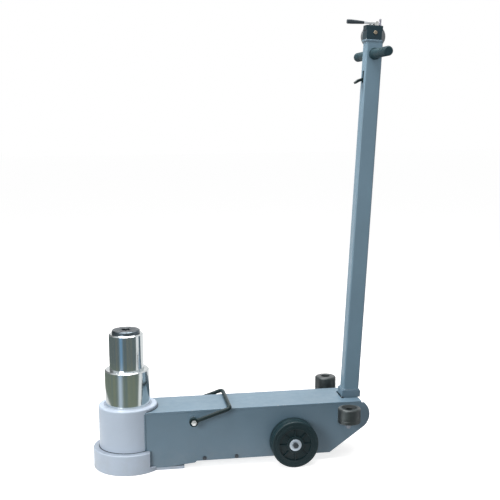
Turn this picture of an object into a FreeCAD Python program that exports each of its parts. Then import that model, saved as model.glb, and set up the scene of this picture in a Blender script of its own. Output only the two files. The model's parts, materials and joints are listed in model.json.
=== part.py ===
import FreeCAD, Part
import math
import os
import re
import Sketcher
from FreeCAD import Placement, Rotation, Vector

# A long-chassis air-hydraulic floor jack with a two-stage ram, in millimetres.
# Origin: on the floor, on the ram's axis. +X runs back to the handle, +Z is up,
# and the jack's left side (seen by the person who pushes it) is -Y.

SIZES = {
    # foot and ram housing
    "foot_wall": 17, "foot_height": 57, "foot_floor": 12, "foot_flat": 54, "foot_edge": 4,
    "tongue_end": 148, "tongue_thick": 8, "housing_wall": 14.5, "housing_rise": 10, "housing_edge": 5,
    "gland_depth": 24, "wiper_depth": 4, "wiper_rise": 1.5,
    # telescopic ram, drawn out nearly to its stops
    "outer_wall": 9.8, "outer_length": 160, "outer_reach": 98.5, "outer_step": 5.2, "outer_floor": 12,
    "outer_piston": 24, "outer_gland": 20, "oil_hole": 8, "inner_radius": 46.9, "inner_length": 148,
    "inner_reach": 99.5, "inner_step": 4.1, "inner_piston": 20, "ram_edge": 3, "seal_start": 6,
    "seal_width": 8, "seal_inset": 2, "saddle_radius": 38.3, "saddle_thick": 9.5, "saddle_edge": 2,
    "saddle_hole": 12, "stem_radius": 20, "stem_length": 36, "slot_width": 2.5, "slot_depth": 1.5,
    "saddle_slots": 6,
    # chassis plates
    "half_width": 68, "plate": 6, "deck": 164.5, "toe_gap": 0.1, "toe_x": 100,
    "step_x": 178, "step_low": 15.5, "belly_x": 182, "belly": 20, "slope_x": 556, "tail_radius": 45,
    "slot_front_play": 0.5, "slot_side_play": 10, "tray_start": 190, "tray_end": 552, "tray_wall": 3,
    "tray_lip": 20, "screw_front": 203.4, "screw_back": 292.3, "screw_height": 26.8,
    "screw_shank": 3, "screw_head": 5, "screw_head_high": 3.5,
    # wheels
    "wheel_x": 449, "wheel_radius": 65, "wheel_gap": 3.3, "wheel_width": 44.3, "axle_radius": 10,
    "tyre_depth": 15, "tyre_edge": 7, "hub_recess": 6, "hub_boss": 24, "rim_wall": 6, "washer_radius": 17.4,
    "washer_thick": 2.5, "bolt_flats": 14, "bolt_head": 5.5, "bolt_shank": 4, "bolt_length": 24,
    "spacer_radius": 16,
    # handle mounting
    "pivot_x": 626, "pivot_drop": 39.5, "lean": 3.6, "shaft_radius": 11, "shaft_head": 16,
    "shaft_head_thick": 3, "cheek_gap": 8, "cheek_radius": 20, "yoke_clear": 1, "yoke_floor_thick": 3,
    "socket_high": 15, "yoke_wall_x": 4, "yoke_wall_y": 5, "sector_radius": 38, "sector_half": 5,
    "notch_width": 16, "notch_depth": 8, "stay_x": 594, "stay_z": 88, "stay_radius": 6, "stay_tab": 10,
    # handle
    "tube_x": 45, "tube_y": 40, "tube_wall": 3, "tube_top": 1030, "tube_round": 4, "tee_drop": 33,
    "tee_radius": 10, "tee_half": 143, "grip_wall": 2.8, "grip_start": 22, "grip_cap": 7,
    "grip_flange": 16, "grip_flange_thick": 4,
    "rib_pitch": 7, "rib_depth": 1.4, "rib_count": 8,
    "trigger_pivot_x": 12, "trigger_drop": 100, "trigger_half": 8, "trigger_slot_low": 11,
    "trigger_slot_high": 21, "trigger_pin_radius": 3, "trigger_eye": 7, "rod_slot": 7.2, "rod_radius": 4,
    "bolt_radius": 6.8, "lock_bolt_high": 36, "lock_clear": 0.4, "rod_rise": 16, "cross_pin_rise": 8,
    "cross_pin": 1.5,
    # control head
    "head_plate": 4.7, "head_front": 26, "head_back": 20.5, "block_front": 24.7, "block_back": 17.7,
    "block_low_y": 19, "block_high": 25, "cap_front": 26, "cap_back": 20.5,
    "cap_half": 16, "cap_high": 13, "ear_thick": 5, "clevis_base": 1.5, "ear_x": 4, "ear_half": 5.5,
    "disc_radius": 33, "disc_x": 7.5, "disc_rise": 17, "disc_thick": 22, "disc_edge": 4,
    "lever_pin_radius": 2.5, "lever_pin_rise": 7, "lever_thick": 5, "lever_half": 5, "lever_back": 9,
    "lever_front": -73, "grip_front": -77, "grip_back": -30, "grip_tip": 6, "grip_root": 4, "grip_half": 8,
    "plunger_x": -12, "plunger_radius": 3, "plunger_gap": 0.8, "plunger_rise": 6.2,
    "nipple_x": 16, "nipple_radius": 3.2, "nipple_high": 19.5, "nipple_base": 4, "nipple_base_high": 5,
    "cover_screw_x": -1.2, "cover_screw_rise": 18.8, "cover_screw": 5, "cover_screw_high": 3.5,
    # carrying bail
    "bail_x": 173.7, "bail_drop": 26.5, "bail_length": 105.5, "bail_out": 20, "bail_rest": 0.5,
    "bail_wire": 5.5, "bail_bend": 15, "bail_eye": 12, "bail_eye_half": 6, "bail_bolt": 5,
    "bail_spacer": 9, "bail_head_flats": 13, "bail_head": 5.5,
    # stored ram extensions and the hooks that carry them
    "adapter_x": 593, "adapter_out": 72, "adapter_radius": 31, "left_adapter_high": 41,
    "right_adapter_high": 51, "adapter_edge": 5, "adapter_bore": 9, "adapter_socket": 20,
    "hook_wire": 6, "hook_bend": 12, "hook_z": 114, "hook_peg": 16, "hook_collar": 13,
    "hook_collar_high": 3.5, "hook_flange": 15, "hook_flange_thick": 4, "peg_play": 0.3,
    # pump, tank and air motor inside the chassis
    "tank_start": 112, "tank_end": 300, "tank_low": 44, "tank_drop": 14.5, "tank_wall": 4, "plug_radius": 10,
    "plug_x": 270, "plug_head": 14, "plug_head_high": 5, "plug_depth": 9, "shelf_start": 322,
    "shelf_end": 420, "shelf_low": 50, "shelf_thick": 6, "pump_start": 330, "pump_end": 400,
    "pump_half": 36, "pump_drop": 14.5, "axle_clear": 3, "motor_wall": 3, "motor_bore": 30,
    "motor_length": 80, "motor_cap": 14, "motor_cap_half": 33.5, "motor_bolt": 3, "motor_bolt_place": 27,
    "motor_bolt_head": 5.5, "piston_start": 11, "piston_thick": 16, "plunger_rod": 9, "plunger_end": 48,
    "plunger_bore": 55, "pipe_radius": 4, "pipe_low": 32, "pipe_up_x": 312, "pipe_high": 80,
    "pipe_bend": 12, "pipe_in_housing": 4, "pipe_in_pump": 6, "fitting_radius": 9, "fitting_length": 13,
    "short_fitting": 5.85,
    # clearances
    "seat": 0.05, "running": 0.06, "gap": 0.3,
}

AXES = {
    "z": Rotation(),
    "x": Rotation(Vector(0, 1, 0), 90),
    "y": Rotation(Vector(1, 0, 0), -90),
    "-y": Rotation(Vector(1, 0, 0), 90),
}
SIDES = ("left", "right")

# sizes that follow from the ones above
TIED = {
    "outer_bore": "(inner_radius + inner_step)",
    "outer_radius": "(outer_bore + outer_wall)",
    "housing_bore": "(outer_radius + outer_step)",
    "housing_radius": "(housing_bore + housing_wall)",
    "housing_top": "(deck + housing_rise)",
    "foot_radius": "(housing_radius + foot_wall)",
    "outer_top": "(housing_top + outer_reach)",
    "outer_low": "(outer_top - outer_length)",
    "inner_top": "(outer_top + inner_reach)",
    "inner_low": "(inner_top - inner_length)",
    "plate_top": "(deck - plate)",
    "plate_start": "(sqrt(max(0; housing_radius ^ 2 - half_width ^ 2)))",
    "inside": "(half_width - plate - seat)",
    "toe_low": "(tongue_thick + toe_gap)",
    "pivot_z": "(deck - pivot_drop)",
    "slope": "(atan2(pivot_z - belly; pivot_x - slope_x)"
             " - asin(tail_radius / hypot(pivot_x - slope_x; pivot_z - belly)))",
    "tail_end": "(pivot_x + sqrt(tail_radius ^ 2 - pivot_drop ^ 2))",
    "yoke_half_x": "(tube_x / 2 + yoke_wall_x)",
    "yoke_half_y": "(tube_y / 2 + yoke_wall_y)",
    "yoke_floor": "(sector_radius + yoke_clear)",
    "yoke_ledge": "(yoke_floor + yoke_floor_thick)",
    "yoke_top": "(yoke_ledge + socket_high)",
    "wheel_back": "(half_width + wheel_gap)",
    "wheel_face": "(wheel_back + wheel_width)",
    "tread": "(wheel_radius - tyre_depth)",
    "hub_rim": "(tread - rim_wall)",
    "axle_end": "(wheel_face + gap)",
    "tube_low": "(yoke_ledge + seat)",
    "tee_z": "(tube_top - tee_drop)",
    "grip_radius": "(tee_radius + grip_wall)",
    "grip_end": "(tee_half + grip_cap)",
    "trigger_z": "(tube_top - trigger_drop)",
    "block_low": "(tube_top + seat + head_plate)",
    "cap_low": "(block_low + block_high)",
    "cap_top": "(cap_low + cap_high)",
    "lever_z": "(cap_top + lever_pin_rise)",
    "plunger_low": "(block_low + plunger_rise)",
    "bail_z": "(deck - bail_drop)",
    "bail_half": "(half_width + bail_out)",
    "bail_rise": "(asin((bail_drop + bail_rest + bail_wire) / bail_length))",
    "bail_inner": "(bail_half - bail_eye_half)",
    "adapter_y": "(half_width + adapter_out)",
    "adapter_low": "(hook_z + hook_bend + hook_collar_high + gap)",
    "tank_high": "(deck - tank_drop)",
    "pump_high": "(deck - pump_drop)",
    "motor_radius": "(motor_bore + motor_wall)",
    "motor_z": "(wheel_radius + axle_radius + axle_clear + motor_radius)",
    "motor_end": "(pump_end + motor_length)",
}

doc = FreeCAD.newDocument("two_stage_floor_jack")
sheet = doc.addObject("Spreadsheet::Sheet", "Sizes")
for row, (alias, number) in enumerate(SIZES.items(), start=1):
    sheet.set(f"A{row}", alias)
    sheet.set(f"B{row}", str(number))
    sheet.setAlias(f"B{row}", alias)
doc.recompute()

subparts = []


# ---- helpers ----------------------------------------------------------------------------------
def bound(text):
    """The same expression with each tied size worked out and each size written as a cell of the sheet."""
    def cell(word):
        if word[0] in TIED:
            return bound(TIED[word[0]])
        return f"Sizes.{word[0]}" if word[0] in SIZES else word[0]

    return re.sub(r"[a-z]\w*", cell, str(text))


def value(text):
    """What an expression of sizes comes to, as a plain number."""
    number = sheet.evalExpression(bound(text))
    return float(getattr(number, "Value", number))


def bind(obj, **sizes):
    for name, text in sizes.items():
        obj.setExpression(name, bound(text))
    return obj


def place(obj, x=0, y=0, z=0, along="z"):
    obj.Placement = Placement(Vector(), AXES[along])
    for axis, text in zip("xyz", (x, y, z)):
        obj.setExpression(f"Placement.Base.{axis}", bound(text))
    return obj


def tilt(obj, x, z, angle, y=0):
    """Puts a piece that is drawn at the origin at (x, y, z), leaning towards +X by an angle."""
    obj.Placement = Placement(Vector(), Rotation(Vector(0, 1, 0), 1))
    for axis, text in zip("xyz", (x, y, z)):
        obj.setExpression(f"Placement.Base.{axis}", bound(text))
    obj.setExpression("Placement.Rotation.Angle", bound(angle))
    return obj


def on_handle(obj):
    """Handle pieces are drawn upright with the pivot at the origin, then leant back with the tube."""
    carried = doc.addObject("Part::Compound", f"{obj.Name}_leant")
    carried.Links = [obj]
    return tilt(carried, "pivot_x", "pivot_z", "lean")


def box(name, x, y, z):
    """A block between the low and high ends given for each axis."""
    block = bind(doc.addObject("Part::Box", name), Length=f"{x[1]} - ({x[0]})",
                 Width=f"{y[1]} - ({y[0]})", Height=f"{z[1]} - ({z[0]})")
    return place(block, x[0], y[0], z[0])


def cylinder(name, radius, length, x=0, y=0, z=0, along="z"):
    return place(bind(doc.addObject("Part::Cylinder", name), Radius=radius, Height=length), x, y, z, along)


def hexagon(name, flats, length, x=0, y=0, z=0, along="z"):
    prism = bind(doc.addObject("Part::Prism", name), Circumradius=f"{flats} / sqrt(3)", Height=length)
    prism.Polygon = 6
    return place(prism, x, y, z, along)


def fuse(name, *shapes):
    joined = doc.addObject("Part::MultiFuse", name)
    joined.Shapes = list(shapes)
    return joined


def cut(name, base, *tools):
    removed = doc.addObject("Part::Cut", name)
    removed.Base = base
    removed.Tool = tools[0] if len(tools) == 1 else fuse(f"{name}_tools", *tools)
    return removed


def sketch_on(body, role, outline):
    """A closed sketch of straight edges through the outline's points, each point tied to the sheet."""
    plane = next(item for item in body.Origin.OriginFeatures if item.Role == role)
    sketch = body.newObject("Sketcher::SketchObject", f"{body.Name}_outline")
    sketch.AttachmentSupport = [(plane, "")]
    sketch.MapMode = "FlatFace"
    corners = [Vector(value(across), value(up), 0) for across, up in outline]
    for start, end in zip(corners, corners[1:] + corners[:1]):
        sketch.addGeometry(Part.LineSegment(start, end), False)
    for edge in range(len(corners)):
        sketch.addConstraint(Sketcher.Constraint("Coincident", edge, 2, (edge + 1) % len(corners), 1))
    for edge, (across, up) in enumerate(outline):
        for kind, text in (("DistanceX", across), ("DistanceY", up)):
            number = sketch.addConstraint(Sketcher.Constraint(kind, -1, 1, edge, 1, value(text)))
            sketch.setExpression(f"Constraints[{number}]", bound(text))
    return sketch


def turned(name, outline, x=0, y=0, z=0, along="z", edges=(), edge_radius=None):
    """A lathe-turned piece: (radius, height) points revolved about its own axis, with rounded rims.

    edges lists the (radius, height) of each circular edge that is rounded by edge_radius."""
    body = doc.addObject("PartDesign::Body", name)
    revolution = body.newObject("PartDesign::Revolution", f"{name}_turn")
    revolution.Profile = sketch_on(body, "XZ_Plane", outline)
    axis = next(item for item in body.Origin.OriginFeatures if item.Role == "Z_Axis")
    revolution.ReferenceAxis = (axis, [""])
    revolution.Angle = 360
    if edges:
        doc.recompute()
        rims = []
        for number, edge in enumerate(revolution.Shape.Edges, start=1):
            if not isinstance(edge.Curve, Part.Circle):
                continue
            for radius, height in edges:
                same = abs(edge.Curve.Radius - value(radius)) < 0.01
                if same and abs(edge.Curve.Center.z - value(height)) < 0.01:
                    rims.append(f"Edge{number}")
        rounding = body.newObject("PartDesign::Fillet", f"{name}_rims")
        rounding.Base = (revolution, rims)
        bind(rounding, Radius=edge_radius)
    return place(body, x, y, z, along)


def flat(name, outline, low, high):
    """A flat piece: (x, z) points given a thickness from y = low to y = high."""
    body = doc.addObject("PartDesign::Body", name)
    pad = body.newObject("PartDesign::Pad", f"{name}_pad")
    pad.Profile = sketch_on(body, "XZ_Plane", outline)
    bind(pad, Length=f"{high} - ({low})")
    return place(body, 0, high, 0)


def bent_bar(name, corners, bend, radius):
    """A round bar through the corners, each turn an arc of the bend radius."""
    points = [Vector(*(value(text) for text in corner)) for corner in corners]
    edges, start = [], points[0]
    for before, corner, after in zip(points, points[1:], points[2:]):
        back = (before - corner).normalize()
        ahead = (after - corner).normalize()
        reach = value(bend) / math.tan(back.getAngle(ahead) / 2)
        first, last = corner + back * reach, corner + ahead * reach
        inward = (back + ahead).normalize()
        centre = corner + inward * (value(bend) / math.sin(back.getAngle(ahead) / 2))
        edges += [Part.LineSegment(start, first).toShape(),
                  Part.Arc(first, centre - inward * value(bend), last).toShape()]
        start = last
    edges.append(Part.LineSegment(start, points[-1]).toShape())
    path = Part.Wire(edges)
    section = Part.Wire([Part.makeCircle(value(radius), points[0], points[1] - points[0])])
    bar = doc.addObject("Part::Feature", name)
    bar.Shape = path.makePipeShell([section], True, True)
    return bar


def subpart(label, obj):
    obj.Label = label
    subparts.append(obj)
    return obj


def span(side, near, far):
    """The range from near to far out from the middle plane, on the left (-Y) or the right (+Y)."""
    return (f"-({far})", f"-({near})") if side == "left" else (near, far)


def outward(side):
    return "-y" if side == "left" else "y"


def mirrored(side, text):
    return f"-({text})" if side == "left" else text


# ---- foot and ram housing -----------------------------------------------------------------------
def make_foot():
    """A round foot that cups the housing, cut flat at the back, with a tongue under the chassis."""
    ring = turned("foot_cup", [
        (0, 0), ("foot_radius - 2", 0), ("foot_radius", 2), ("foot_radius", "foot_height"),
        ("housing_radius + seat", "foot_height"), ("housing_radius + seat", "foot_floor"),
        (0, "foot_floor")], edges=[("foot_radius", "foot_height")], edge_radius="foot_edge")
    back = box("foot_back", ("foot_flat", "foot_radius + 10"), ("-foot_radius", "foot_radius"),
               ("foot_floor", "foot_height + 10"))
    tongue = box("foot_tongue", (0, "tongue_end"), ("-(half_width - 2)", "half_width - 2"),
                 (0, "tongue_thick"))
    subpart("foot_ring", fuse("foot", cut("foot_cut", ring, back), tongue))


def make_housing():
    """The ram housing, its gland and the wiper that rings the ram."""
    barrel = turned("housing_barrel", [
        ("housing_bore", "foot_floor"), ("housing_radius", "foot_floor"),
        ("housing_radius", "housing_top"), ("housing_bore", "housing_top")],
        edges=[("housing_radius", "housing_top")], edge_radius="housing_edge")
    port = cylinder("housing_port", "pipe_radius + seat", "housing_radius", 0, 0, "pipe_low", "x")
    subpart("ram_cylinder", cut("housing", barrel, port))
    wiper_low = "(housing_top - wiper_depth)"
    bore, rim = "outer_radius + running", "housing_bore - seat"
    subpart("gland_ring", turned("gland", [
        (bore, f"{wiper_low} - gland_depth"), (rim, f"{wiper_low} - gland_depth"),
        (rim, wiper_low), (bore, wiper_low)]))
    subpart("gland_wiper", turned("wiper", [
        (bore, wiper_low), (rim, wiper_low), (rim, "housing_top - 1"),
        (f"{bore} + 1.2", "housing_top + wiper_rise"), (bore, "housing_top + wiper_rise")]))


# ---- telescopic ram -----------------------------------------------------------------------------
def piston_rim(bore, rod, low):
    """The outline of a piston's rim with its seal groove, and the seal that fills the groove."""
    rim = f"{bore} - running"
    floor = f"{rod} - seal_inset"
    start, end = f"{low} + seal_start", f"{low} + seal_start + seal_width"
    outline = [(rim, low), (rim, start), (floor, start), (floor, end), (rim, end)]
    seal = [(f"{floor} + seat", f"{start} + seat"), (rim, f"{start} + seat"), (rim, f"{end} - seat"),
            (f"{floor} + seat", f"{end} - seat")]
    return outline, seal


def make_rams():
    rim, seal = piston_rim("housing_bore", "outer_radius", "outer_low")
    subpart("outer_ram", turned("outer", [("oil_hole", "outer_low")] + rim + [
        ("housing_bore - running", "outer_low + outer_piston"),
        ("outer_radius", "outer_low + outer_piston"),
        ("outer_radius", "outer_top - ram_edge"), ("outer_radius - ram_edge", "outer_top"),
        ("inner_radius + running", "outer_top"), ("inner_radius + running", "outer_top - outer_gland"),
        ("outer_bore", "outer_top - outer_gland"), ("outer_bore", "outer_low + outer_floor"),
        ("oil_hole", "outer_low + outer_floor")]))
    subpart("outer_ram_seal", turned("outer_seal", seal))
    rim, seal = piston_rim("outer_bore", "inner_radius", "inner_low")
    subpart("inner_ram", turned("inner", [(0, "inner_low")] + rim + [
        ("outer_bore - running", "inner_low + inner_piston"),
        ("inner_radius", "inner_low + inner_piston"),
        ("inner_radius", "inner_top - ram_edge"), ("inner_radius - ram_edge", "inner_top"),
        ("stem_radius + running", "inner_top"), ("stem_radius + running", "inner_top - stem_length - 1"),
        (0, "inner_top - stem_length - 1")]))
    subpart("inner_ram_seal", turned("inner_seal", seal))


def make_saddle():
    """The round head plate, which turns on its stem, with slots across its face for grip."""
    top = "(inner_top + saddle_thick)"
    head = turned("saddle_head", [
        ("saddle_hole", "inner_top - stem_length"), ("stem_radius", "inner_top - stem_length"),
        ("stem_radius", "inner_top + gap"), ("saddle_radius", "inner_top + gap"),
        ("saddle_radius", f"{top} - saddle_edge"), ("saddle_radius - saddle_edge", top),
        ("saddle_hole", top)])
    slots = []
    for number in range(SIZES["saddle_slots"]):
        slot = bind(doc.addObject("Part::Box", f"saddle_slot_{number}"), Length="2 * saddle_radius",
                    Width="slot_width", Height="2 * slot_depth")
        turn = math.radians(180 * number / SIZES["saddle_slots"])
        slot.Placement = Placement(Vector(), Rotation(Vector(0, 0, 1), math.degrees(turn)))
        back, aside = math.cos(turn), math.sin(turn)
        slot.setExpression("Placement.Base.x", bound(f"-saddle_radius * {back} + slot_width / 2 * {aside}"))
        slot.setExpression("Placement.Base.y", bound(f"-saddle_radius * {aside} - slot_width / 2 * {back}"))
        slot.setExpression("Placement.Base.z", bound(f"{top} - slot_depth"))
        slots.append(slot)
    subpart("saddle", cut("saddle_cut", head, *slots))


# ---- chassis ------------------------------------------------------------------------------------
def make_side_plate(side):
    """A side plate: its belly rises to a tail that is rounded about the handle's pivot."""
    low, high = span(side, "half_width - plate", "half_width")
    inner = mirrored(side, "half_width - plate - 1")
    sheet_steel = flat(f"{side}_blank", [
        ("foot_flat", "toe_low"), ("toe_x", "toe_low"), ("step_x", "step_low"), ("belly_x", "belly"),
        ("slope_x", "belly"),
        ("pivot_x + tail_radius * sin(slope)", "pivot_z - tail_radius * cos(slope)"),
        ("pivot_x", "pivot_z"), ("pivot_x", "plate_top"), ("plate_start", "plate_top"),
        ("plate_start", "foot_height"), ("foot_flat", "foot_height")], low, high)
    tail = cylinder(f"{side}_tail", "tail_radius", "plate", "pivot_x",
                    mirrored(side, "half_width - plate"), "pivot_z", outward(side))
    above = box(f"{side}_above", ("slope_x", "pivot_x + 2 * tail_radius"), (low, high),
                ("plate_top", "pivot_z + 2 * tail_radius"))
    holes = [
        cylinder(f"{side}_{name}_hole", radius, "plate + 2", x, inner, z, outward(side))
        for name, radius, x, z in (
            ("axle", "axle_radius + seat", "wheel_x", "wheel_radius"),
            ("shaft", "shaft_radius + seat", "pivot_x", "pivot_z"),
            ("stay", "stay_radius + seat", "stay_x", "stay_z"),
            ("bail", "bail_bolt + seat", "bail_x", "bail_z"),
            ("hook", "hook_wire + seat", "adapter_x", "hook_z"),
            ("screw_front", "screw_shank + seat", "screw_front", "screw_height"),
            ("screw_back", "screw_shank + seat", "screw_back", "screw_height"))]
    housing = cylinder(f"{side}_housing_space", "housing_radius + seat", "deck")
    lip = cylinder(f"{side}_lip_space", "foot_radius + seat", "foot_floor + seat")
    subpart(f"{side}_side_plate", cut(
        f"{side}_side", fuse(f"{side}_sheet", sheet_steel, tail), above, housing, lip, *holes))


def make_top_plate():
    plate = box("deck_plate", ("plate_start", "tail_end"), ("-half_width", "half_width"),
                ("plate_top", "deck"))
    housing = cylinder("deck_housing_space", "housing_radius + seat", "deck + 10")
    slot_half = "(yoke_half_y + slot_side_play)"
    slot = box("handle_slot", ("pivot_x - yoke_half_x - slot_front_play", "pivot_x + 2 * tail_radius"),
               (f"-{slot_half}", slot_half), ("deck - 2 * plate", "deck + plate"))
    subpart("top_plate", cut("deck_cut", plate, housing, slot))


def make_tray():
    """The tray that closes the belly, held by screws through its turned-up lips."""
    tray = box("tray_outside", ("tray_start", "tray_end"), ("-inside", "inside"),
               ("belly", "belly + tray_lip"))
    space = box("tray_inside", ("tray_start - 1", "tray_end + 1"),
                ("-(inside - tray_wall)", "inside - tray_wall"),
                ("belly + tray_wall", "belly + tray_lip + 1"))
    holes = [cylinder(f"tray_hole_{number}", "screw_shank + seat", "2 * half_width", x, "-half_width",
                      "screw_height", "y") for number, x in enumerate(("screw_front", "screw_back"))]
    subpart("bottom_tray", cut("tray", tray, space, *holes))
    screws = []
    for side in SIDES:
        for x in ("screw_front", "screw_back"):
            shank_start = "half_width - plate - tray_wall - 3"
            screws.append(fuse(
                f"{side}_{x}_bolt",
                cylinder(f"{side}_{x}_shank", "screw_shank", "plate + tray_wall + 3", x,
                         mirrored(side, shank_start), "screw_height", outward(side)),
                hexagon(f"{side}_{x}_head", "2 * screw_head", "screw_head_high", x,
                        mirrored(side, "half_width"), "screw_height", outward(side))))
    subpart("tray_screws", fuse("tray_screw_set", *screws))


def make_wheel(side):
    """A solid tyre on a recessed hub that turns on the axle."""
    out = outward(side)
    face, back = "wheel_face", "wheel_back"
    subpart(f"{side}_tyre", turned(f"{side}_tread", [
        ("tread + seat", back), ("wheel_radius", back), ("wheel_radius", face),
        ("tread + seat", face)], "wheel_x", 0, "wheel_radius", out,
        edges=[("wheel_radius", back), ("wheel_radius", face)], edge_radius="tyre_edge"))
    subpart(f"{side}_hub", turned(f"{side}_web", [
        ("axle_radius + running", back), ("hub_boss", back), ("hub_boss", f"{back} + hub_recess"),
        ("hub_rim", f"{back} + hub_recess"), ("hub_rim", back), ("tread", back), ("tread", face),
        ("hub_rim", face), ("hub_rim", f"{face} - hub_recess"), ("hub_boss", f"{face} - hub_recess"),
        ("hub_boss", face), ("axle_radius + running", face)], "wheel_x", 0, "wheel_radius", out))


def make_axle():
    axle = cylinder("axle_bar", "axle_radius", "2 * axle_end", "wheel_x", "-axle_end", "wheel_radius",
                    "y")
    threads, bolts, washers = [], [], []
    for side in SIDES:
        out = outward(side)
        threads.append(cylinder(f"{side}_axle_thread", "bolt_shank + seat", "bolt_length + 5", "wheel_x",
                                mirrored(side, "axle_end - bolt_length - 2"), "wheel_radius", out))
        shank = cylinder(f"{side}_axle_shank", "bolt_shank", "bolt_length + washer_thick", "wheel_x",
                         mirrored(side, "axle_end - bolt_length"), "wheel_radius", out)
        head = hexagon(f"{side}_axle_head", "bolt_flats", "bolt_head", "wheel_x",
                       mirrored(side, "axle_end + washer_thick"), "wheel_radius", out)
        bolts.append(fuse(f"{side}_axle_bolt", shank, head))
        washers.append(turned(f"{side}_washer", [
            ("bolt_shank + seat", "axle_end"), ("washer_radius", "axle_end"),
            ("washer_radius", "axle_end + washer_thick"),
            ("bolt_shank + seat", "axle_end + washer_thick")], "wheel_x", 0, "wheel_radius", out))
        inner_face = "wheel_back - gap"
        washers.append(turned(f"{side}_spacer", [
            ("axle_radius + seat", "half_width"), ("spacer_radius", "half_width"),
            ("spacer_radius", inner_face), ("axle_radius + seat", inner_face)],
            "wheel_x", 0, "wheel_radius", out))
    subpart("wheel_axle", cut("axle", axle, *threads))
    subpart("axle_bolts", fuse("axle_bolt_pair", *bolts))
    subpart("axle_washers", fuse("axle_washer_set", *washers))


# ---- handle mounting ----------------------------------------------------------------------------
def make_handle_mount():
    """The shaft that the handle tilts on, and the notched plate that its lock drops into."""
    shaft = [cylinder("shaft_bar", "shaft_radius", "2 * half_width", "pivot_x", "-half_width",
                      "pivot_z", "y")]
    for side in SIDES:
        shaft.append(cylinder(f"{side}_shaft_head", "shaft_head", "shaft_head_thick", "pivot_x",
                              mirrored(side, "half_width"), "pivot_z", outward(side)))
    subpart("handle_shaft", fuse("shaft", *shaft))
    disc = cylinder("sector_disc", "sector_radius", "2 * sector_half", "pivot_x", "-sector_half",
                    "pivot_z", "y")
    tab = box("sector_tab", ("stay_x - stay_tab", "pivot_x"), ("-sector_half", "sector_half"),
              ("stay_z - stay_tab", "pivot_z"))
    holes = [cylinder("sector_bore", "shaft_radius + seat", "3 * sector_half", "pivot_x",
                      "-1.5 * sector_half", "pivot_z", "y"),
             cylinder("sector_stay_hole", "stay_radius + seat", "3 * sector_half", "stay_x",
                      "-1.5 * sector_half", "stay_z", "y")]
    notches = []
    for number, angle in enumerate((0, 40, 80)):
        notch = bind(doc.addObject("Part::Box", f"notch_{number}"), Length="notch_width",
                     Width="3 * sector_half", Height="2 * notch_depth")
        lean = f"(lean + {angle})"
        out = "(sector_radius - notch_depth)"
        tilt(notch, f"pivot_x + {out} * sin{lean} - notch_width / 2 * cos{lean}",
             f"pivot_z + {out} * cos{lean} + notch_width / 2 * sin{lean}", lean, "-1.5 * sector_half")
        notches.append(notch)
    subpart("lock_sector", cut("sector", fuse("sector_blank", disc, tab), *holes, *notches))
    subpart("sector_stay", cylinder("stay", "stay_radius", "2 * (half_width - seat)", "stay_x",
                                    "-(half_width - seat)", "stay_z", "y"))


def make_yoke():
    """The fork that straddles the notched plate and carries the tube in a square socket."""
    socket = box("yoke_socket", ("-yoke_half_x", "yoke_half_x"), ("-yoke_half_y", "yoke_half_y"),
                 ("yoke_floor", "yoke_top"))
    space = box("yoke_space", ("-(tube_x / 2 + seat)", "tube_x / 2 + seat"),
                ("-(tube_y / 2 + seat)", "tube_y / 2 + seat"), ("yoke_ledge", "yoke_top + 1"))
    cheeks = []
    for side in SIDES:
        low, high = span(side, "cheek_gap", "yoke_half_y")
        cheeks.append(cylinder(f"{side}_cheek", "cheek_radius", "yoke_half_y - cheek_gap", 0,
                               mirrored(side, "cheek_gap"), 0, outward(side)))
        cheeks.append(box(f"{side}_cheek_arm", ("-cheek_radius", "cheek_radius"), (low, high),
                          (0, "yoke_floor + 1")))
    bore = cylinder("yoke_bore", "shaft_radius + running", "3 * yoke_half_y", 0, "-1.5 * yoke_half_y",
                    0, "y")
    bolt_hole = cylinder("yoke_bolt_hole", "bolt_radius + running", "2 * yoke_floor_thick", 0, 0,
                         "yoke_floor - 1")
    subpart("handle_yoke", on_handle(cut(
        "yoke", fuse("yoke_blank", socket, *cheeks), space, bore, bolt_hole)))


# ---- handle -------------------------------------------------------------------------------------
def make_tube():
    rod = bind(doc.addObject("Part::Box", "tube_outside"), Length="tube_x", Width="tube_y",
               Height="tube_top - tube_low")
    place(rod, "-tube_x / 2", "-tube_y / 2", "tube_low")
    doc.recompute()
    corners = [(number, SIZES["tube_round"], SIZES["tube_round"])
               for number, edge in enumerate(rod.Shape.Edges, start=1)
               if edge.BoundBox.ZLength > value("tube_top") / 2]
    rounded = doc.addObject("Part::Fillet", "tube_rounded")
    rounded.Base = rod
    rounded.Edges = corners
    inside = box("tube_inside", ("-(tube_x / 2 - tube_wall)", "tube_x / 2 - tube_wall"),
                 ("-(tube_y / 2 - tube_wall)", "tube_y / 2 - tube_wall"), (0, "tube_top + 1"))
    slot = box("trigger_slot", ("-tube_x", "-(tube_x / 2 - tube_wall - 1)"),
               ("-(trigger_half + gap)", "trigger_half + gap"),
               ("trigger_z - trigger_slot_low", "trigger_z + trigger_slot_high"))
    tee_hole = cylinder("tee_hole", "tee_radius + seat", "2 * tube_y", 0, "-tube_y", "tee_z", "y")
    pin_hole = cylinder("pin_hole", "trigger_pin_radius + seat", "2 * tube_y", "trigger_pivot_x",
                        "-tube_y", "trigger_z", "y")
    subpart("handle_tube", on_handle(cut("tube", rounded, inside, slot, tee_hole, pin_hole)))


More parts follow.
